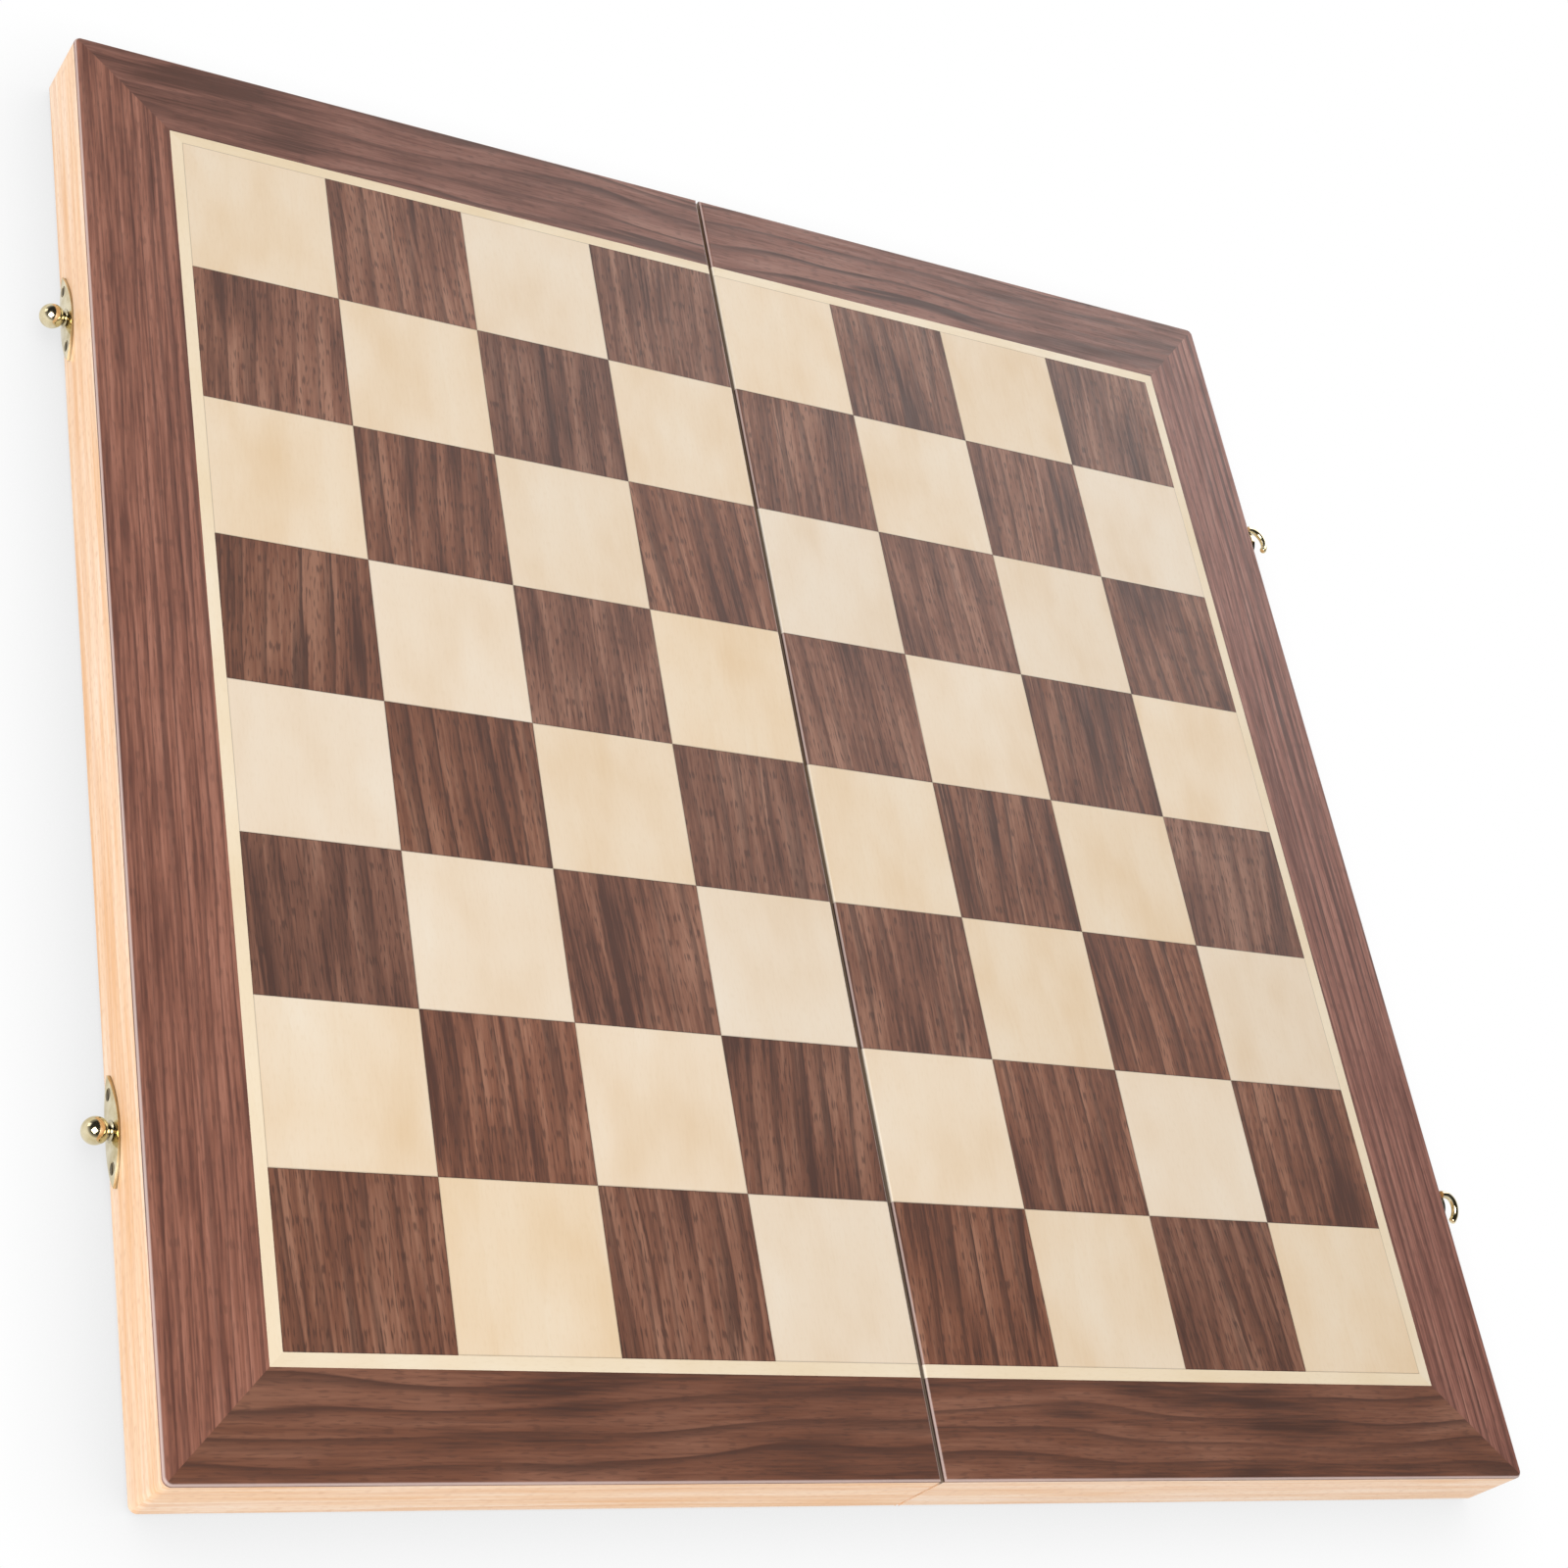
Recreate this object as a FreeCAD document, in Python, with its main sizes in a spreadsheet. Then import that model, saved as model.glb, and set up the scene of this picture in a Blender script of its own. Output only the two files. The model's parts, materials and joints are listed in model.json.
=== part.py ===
import FreeCAD, Part
import os
import re
import Sketcher

# Folding chess board: two shallow wooden trays that fold underside to underside about two butt hinges.
# Frame: +X to the right across the seam, +Y to the back, +Z up.
# The origin is on the table, under the middle of the seam.
# All lengths are millimetres and all angles degrees.

V = FreeCAD.Vector
doc = FreeCAD.newDocument("folding_chess_board")

# Driving sizes

SIZES = [
    ("square_size", 40.6, "side of one playing square"),
    ("stringing_width", 3.2, "pale strip round the playing field"),
    ("border_width", 24.6, "dark border round the strip"),
    ("seam_gap", 1.0, "open line between the two halves"),
    ("glue_line", 0.05, "joint between neighbouring squares"),
    ("veneer_thickness", 1.0, "squares, strip and border"),
    ("corner_radius", 2.0, "rounding of the four outer corners, seen from above"),
    ("edge_ease", 0.8, "rounding of the top edges, outside and along the seam"),
    ("rail_height", 19.0, "rails, from rim to veneer"),
    ("rail_width", 10.0, "rails, seen from below"),
    ("rim_ease", 0.8, "rounding of the outer edge of the rim"),
    ("rabbet_width", 5.0, "ledge in the rails that carries the panel"),
    ("panel_thickness", 4.0, "plywood panel under the veneer"),
    ("panel_clearance", 0.15, "gap round the panel in its rabbet"),
    ("felt_thickness", 1.0, "lining of the tray"),
    ("felt_clearance", 0.4, "gap round the lining"),
    ("leaf_thickness", 0.7, "hinge leaf and knuckle wall"),
    ("leaf_margin", 1.8, "wood left between a leaf and the inner face of its rail"),
    ("hinge_length", 30.0, "hinge along the seam"),
    ("hinge_offset", 110.0, "middle of each hinge from the middle of the board"),
    ("knuckle_gap", 0.1, "end play between knuckles"),
    ("pin_radius", 0.5, "hinge pin"),
    ("pin_clearance", 0.03, "running gap round the hinge pin"),
    ("axis_drop", 0.15, "hinge pin below the rims, half of the gap between the closed rims"),
    ("mortise_clearance", 0.1, "gap round a leaf in its mortise"),
    ("barrel_clearance", 0.3, "gap round the knuckles"),
    ("hinge_screw_end", 6.0, "screws of a leaf from its ends"),
    ("hinge_screw_head", 1.45, "head radius"),
    ("hinge_screw_shank", 0.7, "shank radius"),
    ("hinge_screw_length", 7.0, "under the countersink"),
    ("leaf_sink", 0.55, "depth of the countersink in a leaf"),
    ("plate_length", 26.0, "latch plate, tip to tip"),
    ("plate_width", 8.0, "latch plate at its middle"),
    ("plate_crest", 0.9, "latch plate thickness along its middle line"),
    ("plate_edge", 0.5, "latch plate thickness at the ends of its middle section"),
    ("plate_screw_end", 4.5, "screws of a plate from its tips"),
    ("plate_screw_head", 1.4, "head radius"),
    ("plate_screw_shank", 0.75, "shank radius"),
    ("plate_screw_length", 7.0, "under the countersink"),
    ("plate_sink", 0.6, "depth of the countersink in a plate"),
    ("screw_clearance", 0.05, "gap round screws, tangs and rivets in their holes"),
    ("slot_width", 0.5, "screwdriver slot"),
    ("slot_depth", 0.3, "screwdriver slot"),
    ("latch_offset", 109.0, "middle of each latch from the middle of the board"),
    ("knob_height", 4.4, "knob above the rim"),
    ("ball_radius", 3.15, "ball of the knob"),
    ("neck_base_radius", 2.3, "neck of the knob at the plate"),
    ("neck_top_radius", 1.7, "neck of the knob at the ball"),
    ("tang_radius", 1.0, "tang of the knob in the rail"),
    ("tang_length", 6.0, "tang of the knob in the rail"),
    ("ball_gap", 0.2, "between the hook and the ball"),
    ("pivot_height", 4.7, "hook pivot above the rim"),
    ("hook_gap", 0.2, "between the plate's crest and the hook"),
    ("hook_play", 0.05, "end play of the hook on its rivet"),
    ("hook_thickness", 1.0, "flat of the hook"),
    ("hook_wall", 2.4, "metal round the throat of the hook"),
    ("hook_eye", 2.9, "radius of the hook round its rivet"),
    ("hook_arm_width", 3.6, "arm between eye and throat"),
    ("throat_clearance", 0.25, "gap between the neck and the throat"),
    ("throat_sweep", 45.0, "angle over which the throat opens"),
    ("rivet_radius", 1.0, "shank of the hook's rivet"),
    ("rivet_collar", 1.7, "radius of the collar that holds the hook off its plate"),
    ("rivet_head", 1.9, "head radius"),
    ("rivet_head_height", 0.8, "domed head"),
    ("rivet_length", 6.0, "rivet in the rail"),
    ("horn_radius", 1.0, "thickness of the finger horn, as a radius"),
    ("horn_gap", 0.25, "between the horn and the ball"),
    ("horn_sweep", 140.0, "angle through which the horn curls outward"),
    ("horn_ease", 0.6, "rounding of the horn's end"),
    ("front_hook_lean", 20.0, "front hook at rest, from upright"),
    ("back_hook_lean", 0.0, "back hook at rest, from upright"),
]

# Sizes that follow from the driving ones

DERIVED = [
    ("half_depth", "4 * square_size + stringing_width + border_width"),
    ("half_width", "half_depth + seam_gap / 2"),
    ("seam_face", "seam_gap / 2"),
    ("corner_cut", "corner_radius * (1 - sqrt(2) / 2)"),
    ("top_ease", "min(edge_ease; 0.9 * veneer_thickness)"),
    ("barrel_radius", "pin_radius + leaf_thickness"),
    ("barrel_room", "barrel_radius + barrel_clearance"),
    ("rim_z", "barrel_radius + axis_drop"),
    ("rail_top", "rim_z + rail_height"),
    ("panel_floor", "rail_top - panel_thickness"),
    ("tray_inset", "rail_width - rabbet_width"),
    ("knuckle_pitch", "hinge_length / 5"),
    ("leaf_reach", "seam_face + rail_width - leaf_margin"),
    ("hinge_screw_inset", "(barrel_room + leaf_reach) / 2"),
    ("hinge_screw_step", "hinge_length / 2 - hinge_screw_end"),
    ("knob_z", "rim_z + knob_height"),
    ("pivot_z", "rim_z + pivot_height"),
    ("lens_radius", "(plate_length ^ 2 + plate_width ^ 2) / (4 * plate_width)"),
    ("lens_shift", "lens_radius - plate_width / 2"),
    ("dome_rise", "plate_crest - plate_edge"),
    ("dome_radius", "(plate_width ^ 2 / 4 + dome_rise ^ 2) / (2 * dome_rise)"),
    ("plate_screw_step", "plate_length / 2 - plate_screw_end"),
    ("plate_screw_top", "plate_crest - plate_screw_head ^ 2 / (2 * dome_radius)"),
    ("plate_screw_depth", "plate_sink + plate_screw_length + plate_screw_shank - plate_screw_top"),
    ("throat_radius", "neck_base_radius + throat_clearance"),
    ("hook_standoff", "plate_crest + hook_gap"),
    ("ball_seat", "hook_standoff + hook_thickness + ball_gap"),
    ("ball_centre", "ball_seat + sqrt(ball_radius ^ 2 - throat_radius ^ 2)"),
    ("neck_top", "ball_centre - sqrt(ball_radius ^ 2 - neck_top_radius ^ 2)"),
    ("knob_reach", "ball_centre + ball_radius"),
    ("catch_distance", "knob_height + pivot_height + 2 * axis_drop"),
    ("hook_head", "throat_radius + hook_wall"),
    ("horn_stem", "throat_radius + hook_wall / 2"),
    ("horn_rise", "catch_distance + ball_radius + horn_gap + horn_radius"),
    ("horn_turn", "knob_reach - hook_standoff - hook_thickness - horn_radius"),
    ("rivet_top", "hook_standoff + hook_thickness + hook_play"),
    ("rivet_dome", "(rivet_head ^ 2 + rivet_head_height ^ 2) / (2 * rivet_head_height)"),
]

OWNER = {alias: "Sizes" for alias, _, _ in SIZES}
OWNER.update({alias: "Derived" for alias, _ in DERIVED})


def bound(formula):
    """Turn the size names in a formula into references to the sheets that hold them."""
    return re.sub(r"[a-z_]+", lambda word: f"{OWNER[word.group()]}.{word.group()}"
                  if word.group() in OWNER else word.group(), formula)


def fill_sheets():
    """Write the driving sizes as numbers and the sizes that follow as formulas."""
    sheet = doc.addObject("Spreadsheet::Sheet", "Sizes")
    for row, (alias, value, note) in enumerate(SIZES, start=1):
        sheet.set(f"A{row}", note)
        sheet.set(f"B{row}", str(value))
        sheet.setAlias(f"B{row}", alias)
    follows = doc.addObject("Spreadsheet::Sheet", "Derived")
    for row, (alias, formula) in enumerate(DERIVED, start=1):
        follows.set(f"B{row}", "=" + bound(formula))
        follows.setAlias(f"B{row}", alias)
    doc.recompute()
    return sheet


sizes = fill_sheets()


def number(formula):
    """Work out a formula with the sheets' present numbers."""
    return float(sizes.evalExpression(bound(formula)))


def bind(thing, prop, formula):
    """Tie one property of an object to a formula of the sheets' sizes."""
    thing.setExpression(prop, bound(formula))


def place(thing, x="0", y="0", z="0"):
    """Tie an object's place to three formulas."""
    for axis, formula in zip("xyz", (x, y, z)):
        bind(thing, f"Placement.Base.{axis}", formula)


# Bodies, sketches and features

def new_body(label):
    """Start a body that will become one sub-part or one solid of a group."""
    body = doc.addObject("PartDesign::Body", label)
    body.Label = label
    return body


def new_sketch(body, role, offset="0"):
    """Start a sketch on one of the body's own origin planes, moved along the plane's normal."""
    sketch = body.newObject("Sketcher::SketchObject", f"{body.Name}_sketch")
    plane = [item for item in body.Origin.OriginFeatures if item.Role == role][0]
    sketch.AttachmentSupport = [(plane, "")]
    sketch.MapMode = "FlatFace"
    bind(sketch, "AttachmentOffset.Base.z", offset)
    return sketch


def fix(sketch, kind, geometry, point, formula):
    """Hold one coordinate of a sketch point at a formula."""
    index = sketch.addConstraint(Sketcher.Constraint(kind, -1, 1, geometry, point, number(formula)))
    bind(sketch, f"Constraints[{index}]", formula)


def outline(sketch, corners):
    """Draw one closed outline.

    Each corner is (x, y) in formulas. A corner with three more formulas (radius, centre x, centre y) starts
    an arc of less than half a turn to the next corner.
    """
    first = sketch.GeometryCount
    count = len(corners)
    spots = [V(number(corner[0]), number(corner[1]), 0) for corner in corners]
    ends = []
    for index, corner in enumerate(corners):
        begin = spots[index]
        finish = spots[(index + 1) % count]
        if len(corner) == 2:
            sketch.addGeometry(Part.LineSegment(begin, finish), False)
            ends.append((1, 2))
            continue
        centre = V(number(corner[3]), number(corner[4]), 0)
        towards = (begin + finish) * 0.5 - centre
        middle = centre + towards.normalize() * number(corner[2])
        arc = Part.Arc(begin, middle, finish)
        sketch.addGeometry(arc, False)
        turns_left = (begin - centre).cross(finish - centre).z > 0
        ends.append((1, 2) if turns_left else (2, 1))
    for index in range(count):
        following = (index + 1) % count
        sketch.addConstraint(Sketcher.Constraint(
            "Coincident", first + index, ends[index][1], first + following, ends[following][0]))
    for index, corner in enumerate(corners):
        fix(sketch, "DistanceX", first + index, ends[index][0], corner[0])
        fix(sketch, "DistanceY", first + index, ends[index][0], corner[1])
        if len(corner) > 2:
            rule = sketch.addConstraint(Sketcher.Constraint("Radius", first + index, number(corner[2])))
            bind(sketch, f"Constraints[{rule}]", corner[2])


def rectangle(sketch, left, right, low, high):
    """Draw a rectangle between four formulas."""
    outline(sketch, [(left, low), (right, low), (right, high), (left, high)])


def ring(sketch, x, y, radius):
    """Draw a circle with its centre and radius tied to formulas."""
    index = sketch.addGeometry(Part.Circle(V(number(x), number(y), 0), V(0, 0, 1), number(radius)), False)
    fix(sketch, "DistanceX", index, 3, x)
    fix(sketch, "DistanceY", index, 3, y)
    rule = sketch.addConstraint(Sketcher.Constraint("Radius", index, number(radius)))
    bind(sketch, f"Constraints[{rule}]", radius)


def pad(body, sketch, length, symmetric=False):
    """Raise a sketch into a solid along its normal, or to both sides of it."""
    feature = body.newObject("PartDesign::Pad", f"{body.Name}_pad")
    feature.Profile = sketch
    bind(feature, "Length", length)
    if symmetric:
        feature.SideType = "Symmetric"
    return feature


def pocket(body, sketch, depth, along_normal=False, symmetric=False):
    """Cut a sketch into the body, against its normal unless told otherwise, and see that it cuts."""
    doc.recompute()
    before = body.Shape.Volume
    feature = body.newObject("PartDesign::Pocket", f"{body.Name}_pocket")
    feature.Profile = sketch
    bind(feature, "Length", depth)
    feature.Reversed = along_normal
    if symmetric:
        feature.SideType = "Symmetric"
    doc.recompute()
    if not body.Shape.Volume < before:
        raise RuntimeError(f"a pocket of {body.Label} cuts nothing")
    return feature


def revolve(body, sketch, axis, angle="360"):
    """Turn a sketch about one of its own axes or its first construction line."""
    feature = body.newObject("PartDesign::Revolution", f"{body.Name}_turn")
    feature.Profile = sketch
    feature.ReferenceAxis = (sketch, [axis])
    bind(feature, "Angle", angle)
    return feature


def round_edges(body, radius, chosen):
    """Round the edges of the body for which chosen(middle point of the edge, its box) is true."""
    doc.recompute()
    names = []
    for index, edge in enumerate(body.Shape.Edges, start=1):
        if chosen(edge.CenterOfMass, edge.BoundBox):
            names.append(f"Edge{index}")
    carrier = body.Tip
    feature = body.newObject("PartDesign::Fillet", f"{body.Name}_round")
    feature.Base = (carrier, names)
    bind(feature, "Radius", radius)
    return feature


def box(label, low, high):
    """Make a box between two corners given as three formulas each."""
    block = doc.addObject("Part::Box", label)
    block.Label = label
    for prop, first, last in zip(("Length", "Width", "Height"), low, high):
        bind(block, prop, f"({last}) - ({first})")
    place(block, *low)
    return block


def group(label, members):
    """Gather equal pieces into one sub-part of separate solids."""
    bundle = doc.addObject("Part::Compound", label)
    bundle.Label = label
    bundle.Links = members
    return bundle


def near(first, second):
    """Tell whether two lengths are the same, for finding edges."""
    return abs(first - second) < 1e-4


# The two halves and the two ends

HALVES = {"left": "-1", "right": "1"}
ENDS = {"front": "-1", "back": "1"}


def across(half, formula):
    """Put a distance from the seam's middle on the half's own side."""
    return f"{HALVES[half]} * ({formula})"


def along(end, formula):
    """Put a distance from the board's middle line on the end's own side."""
    return f"{ENDS[end]} * ({formula})"


def ordered(half, near_x, far_x):
    """Give two distances from the seam as lower and higher X on the half's own side."""
    pair = (across(half, near_x), across(half, far_x))
    return pair if half == "right" else pair[::-1]


def side_outline(half, width):
    """Outline of an outer strip that runs between two mitres, with its share of the rounded corners."""
    far = across(half, "half_width")
    turn = across(half, "half_width - corner_radius")
    cut = across(half, "half_width - corner_cut")
    inner = across(half, f"half_width - {width}")
    reach = "half_depth - corner_radius"
    return [
        (far, f"-({reach})"),
        (far, reach, "corner_radius", turn, reach),
        (cut, "half_depth - corner_cut"),
        (inner, f"half_depth - {width}"),
        (inner, f"-(half_depth - {width})"),
        (cut, "-(half_depth - corner_cut)", "corner_radius", turn, f"-({reach})"),
    ]


def end_outline(half, end, width, seam_mitre):
    """Outline of a front or back strip from the seam to its mitre at the outer corner."""
    return [
        (across(half, "seam_face"), along(end, "half_depth")),
        (across(half, "half_width - corner_radius"), along(end, "half_depth"), "corner_radius",
         across(half, "half_width - corner_radius"), along(end, "half_depth - corner_radius")),
        (across(half, "half_width - corner_cut"), along(end, "half_depth - corner_cut")),
        (across(half, f"half_width - {width}"), along(end, f"half_depth - {width}")),
        (across(half, f"seam_face + {seam_mitre}"), along(end, f"half_depth - {width}")),
    ]


def on_outside(middle, slack):
    """Tell whether a point seen from above lies within a slack of the board's outline."""
    return (abs(middle.x) > number("half_width") - slack
            or abs(middle.y) > number("half_depth") - slack)


# Wooden frame of a half

def cut_panel_seat(body, half):
    """Cut the ledge that the panel lies on out of a rail's upper inner corner."""
    sketch = new_sketch(body, "XY_Plane", "rail_top")
    rectangle(sketch, across(half, "seam_face + tray_inset"), across(half, "half_width - tray_inset"),
              "-(half_depth - tray_inset)", "half_depth - tray_inset")
    pocket(body, sketch, "panel_thickness")


def ease_rim(body):
    """Round the outer edge of the rim, round the corners as well."""
    level = number("rim_z")
    slack = number("corner_radius")
    round_edges(body, "rim_ease", lambda middle, span: near(span.ZMin, level) and near(span.ZMax, level)
                and on_outside(middle, slack / 2)
                and not near(abs(middle.x), number("seam_face")))


def drill_side(body, half, holes):
    """Drill level holes into an outer rail from its face: each is (height, distance, radius, depth)."""
    for height, distance, radius, depth in holes:
        sketch = new_sketch(body, "YZ_Plane", across(half, "half_width"))
        for end in ENDS:
            ring(sketch, along(end, distance), height, radius)
        pocket(body, sketch, depth, along_normal=(half == "left"))


def latch_holes(height, centre_radius, centre_depth):
    """Holes under the latch plates: one at each middle and one at each screw."""
    screw = ("plate_screw_shank + screw_clearance", "plate_screw_depth + screw_clearance")
    return [
        (height, "latch_offset", centre_radius, centre_depth),
        (height, "latch_offset - plate_screw_step", *screw),
        (height, "latch_offset + plate_screw_step", *screw),
    ]


def outer_rail(half):
    """Rail opposite the seam, which carries the latch hardware."""
    body = new_body(f"{half}_outer_rail")
    sketch = new_sketch(body, "XY_Plane", "rim_z")
    outline(sketch, side_outline(half, "rail_width"))
    pad(body, sketch, "rail_height")
    cut_panel_seat(body, half)
    if half == "left":
        drill_side(body, half, latch_holes("knob_z", "tang_radius + screw_clearance", "tang_length"))
    else:
        drill_side(body, half, latch_holes("pivot_z", "rivet_radius + screw_clearance", "rivet_length"))
    ease_rim(body)
    return body


def end_rail(half, end):
    """Front or back rail, mitred at the outer corner and at the seam."""
    body = new_body(f"{half}_{end}_rail")
    sketch = new_sketch(body, "XY_Plane", "rim_z")
    outline(sketch, end_outline(half, end, "rail_width", "rail_width"))
    pad(body, sketch, "rail_height")
    cut_panel_seat(body, half)
    ease_rim(body)
    return body


def hinge_rail(half):
    """Rail along the seam, mortised for the hinge leaves and notched for their knuckles."""
    body = new_body(f"{half}_hinge_rail")
    sketch = new_sketch(body, "XY_Plane", "rim_z")
    face = across(half, "seam_face")
    inner = across(half, "seam_face + rail_width")
    outline(sketch, [(face, "-half_depth"), (face, "half_depth"),
                     (inner, "half_depth - rail_width"), (inner, "-(half_depth - rail_width)")])
    pad(body, sketch, "rail_height")
    cut_panel_seat(body, half)
    spread = "hinge_length / 2 + mortise_clearance"
    for reach, depth in (("leaf_reach + mortise_clearance", "leaf_thickness"),
                         ("barrel_room", "barrel_room - axis_drop")):
        mortise = new_sketch(body, "XY_Plane", "rim_z")
        for end in ENDS:
            rectangle(mortise, face, across(half, reach),
                      along(end, f"hinge_offset - ({spread})"), along(end, f"hinge_offset + {spread}"))
        pocket(body, mortise, depth, along_normal=True)
    pilots = new_sketch(body, "XY_Plane", "rim_z + leaf_thickness")
    for end in ENDS:
        for step in ("-", "+"):
            ring(pilots, across(half, "hinge_screw_inset"),
                 along(end, f"hinge_offset {step} hinge_screw_step"), "hinge_screw_shank + screw_clearance")
    pocket(body, pilots, "hinge_screw_length + hinge_screw_shank + screw_clearance", along_normal=True)
    return body


def panel(half):
    """Plywood panel that lies in the rabbet, flush with the rails."""
    near_x, far_x = ("seam_face + tray_inset + panel_clearance", "half_width - tray_inset - panel_clearance")
    edge = "half_depth - tray_inset - panel_clearance"
    low_x, high_x = ordered(half, near_x, far_x)
    return box(f"{half}_panel", (low_x, f"-({edge})", "panel_floor"), (high_x, edge, "rail_top"))


def felt(half):
    """Felt lining glued to the underside of the panel, between the rails."""
    near_x, far_x = ("seam_face + rail_width + felt_clearance", "half_width - rail_width - felt_clearance")
    edge = "half_depth - rail_width - felt_clearance"
    low_x, high_x = ordered(half, near_x, far_x)
    return box(f"{half}_felt_lining", (low_x, f"-({edge})", "panel_floor - felt_thickness"),
               (high_x, edge, "panel_floor"))


# Inlaid playing surface

def ease_top(body):
    """Round the top edges on the board's outline and along the seam."""
    level = number("rail_top + veneer_thickness")
    slack = number("corner_radius / 2")
    seam = number("seam_face + glue_line")
    round_edges(body, "top_ease", lambda middle, span: near(span.ZMin, level) and near(span.ZMax, level)
                and (on_outside(middle, slack) or abs(middle.x) < seam))


def square(label, x, y, at_seam):
    """One square of veneer from its near left corner, with an eased edge if it lies at the seam."""
    side = "square_size - glue_line"
    if not at_seam:
        return box(label, (x, y, "rail_top"),
                   (f"{x} + {side}", f"{y} + {side}", "rail_top + veneer_thickness"))
    body = new_body(label)
    sketch = new_sketch(body, "XY_Plane", "rail_top")
    rectangle(sketch, x, f"{x} + {side}", y, f"{y} + {side}")
    pad(body, sketch, "veneer_thickness")
    ease_top(body)
    return body


def squares(half, wood):
    """The half's sixteen squares of one wood: the near left square of the board is walnut."""
    start = "seam_face" if half == "right" else "-(seam_face + 4 * square_size)"
    seam_column = 0 if half == "right" else 3
    tiles = []
    for column in range(4):
        for row in range(8):
            walnut_here = (column + row) % 2 == 0
            if walnut_here != (wood == "walnut"):
                continue
            x = f"{start} + {column} * square_size + glue_line / 2"
            y = f"({row} - 4) * square_size + glue_line / 2"
            tiles.append(square(f"{half}_{wood}_square_{column}_{row}", x, y, column == seam_column))
    return group(f"{half}_{wood}_squares", tiles)


def stringing(half):
    """Three pale strips that frame the field, mitred at the outer corners and eased at the seam."""
    far = across(half, "half_width - border_width")
    inner = across(half, "half_width - border_width - stringing_width")
    edge = "half_depth - border_width"
    field = "4 * square_size"
    strips = {"outer": [(far, f"-({edge})"), (far, edge), (inner, field), (inner, f"-{field}")]}
    for end in ENDS:
        face = across(half, "seam_face")
        strips[end] = [(face, along(end, edge)), (far, along(end, edge)),
                       (inner, along(end, field)), (face, along(end, field))]
    made = []
    for place_name, corners in strips.items():
        body = new_body(f"{half}_{place_name}_stringing")
        sketch = new_sketch(body, "XY_Plane", "rail_top")
        outline(sketch, corners)
        pad(body, sketch, "veneer_thickness")
        if place_name in ENDS:
            ease_top(body)
        made.append(body)
    return made


def border(half):
    """Three walnut strips round the field, mitred at the outer corners, with eased outer and seam edges."""
    plans = {"outer": side_outline(half, "border_width")}
    for end in ENDS:
        plans[end] = end_outline(half, end, "border_width", "0")
    made = []
    for place_name, corners in plans.items():
        body = new_body(f"{half}_{place_name}_border")
        sketch = new_sketch(body, "XY_Plane", "rail_top")
        outline(sketch, corners)
        pad(body, sketch, "veneer_thickness")
        ease_top(body)
        made.append(body)
    return made


# Screws and turned pieces

def turned(label, half, height, offset, corners):
    """Turn a profile about a level axis in an outer rail.

    Each corner is (distance from the axis, distance out of the rail's face).
    """
    body = new_body(label)
    sketch = new_sketch(body, "XZ_Plane")
    outline(sketch, corners)
    revolve(body, sketch, "V_Axis")
    quarter_turn = 90 if half == "right" else -90
    body.Placement = FreeCAD.Placement(V(), FreeCAD.Rotation(V(0, 1, 0), quarter_turn))
    place(body, across(half, "half_width"), offset, height)
    return body


def screw_profile(top, head, sink, shank, length):
    """Profile of a countersunk wood screw with its head's flat at a given level."""
    return [("0", top), (head, top), (shank, f"{top} - {sink}"), (shank, f"{top} - {sink} - {length}"),
            ("0", f"{top} - {sink} - {length} - {shank}")]


def cut_slot(body, top, head):
    """Saw the driver slot across a screw's head."""
    sketch = new_sketch(body, "XY_Plane", top)
    rectangle(sketch, "-slot_width / 2", "slot_width / 2", f"-2 * {head}", f"2 * {head}")
    pocket(body, sketch, "slot_depth")


def plate_screws(label, half, height):
    """The four screws of the two latch plates on one outer rail."""
    screws = []
    top = "plate_screw_top"
    profile = screw_profile(top, "plate_screw_head", "plate_sink", "plate_screw_shank", "plate_screw_length")
    for end in ENDS:
        for step in ("-", "+"):
            offset = along(end, f"latch_offset {step} plate_screw_step")
            screw = turned(f"{label}_{len(screws) + 1}", half, height, offset, profile)
            cut_slot(screw, top, "plate_screw_head")
            screws.append(screw)
    return group(label, screws)


def hinge_screws(half):
    """The four screws of the two hinge leaves on one half, driven upward and flush with the leaves."""
    screws = []
    profile = screw_profile("0", "hinge_screw_head", "leaf_sink", "hinge_screw_shank", "hinge_screw_length")
    for end in ENDS:
        for step in ("-", "+"):
            body = new_body(f"{half}_hinge_screw_{len(screws) + 1}")
            sketch = new_sketch(body, "XZ_Plane")
            outline(sketch, profile)
            revolve(body, sketch, "V_Axis")
            cut_slot(body, "0", "hinge_screw_head")
            body.Placement = FreeCAD.Placement(V(), FreeCAD.Rotation(V(1, 0, 0), 180))
            place(body, across(half, "hinge_screw_inset"),
                  along(end, f"hinge_offset {step} hinge_screw_step"), "rim_z")
            screws.append(body)
    return group(f"{half}_hinge_screws", screws)


def ball_knob(end):
    """Ball on a flared neck, with a tang through the plate into the rail."""
    return turned(f"{end}_ball_knob", "left", "knob_z", along(end, "latch_offset"), [
        ("0", "-tang_length"),
        ("tang_radius", "-tang_length"),
        ("tang_radius", "plate_crest"),
        ("neck_base_radius", "plate_crest"),
        ("neck_top_radius", "neck_top", "ball_radius", "0", "ball_centre"),
        ("0", "knob_reach"),
    ])


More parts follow.
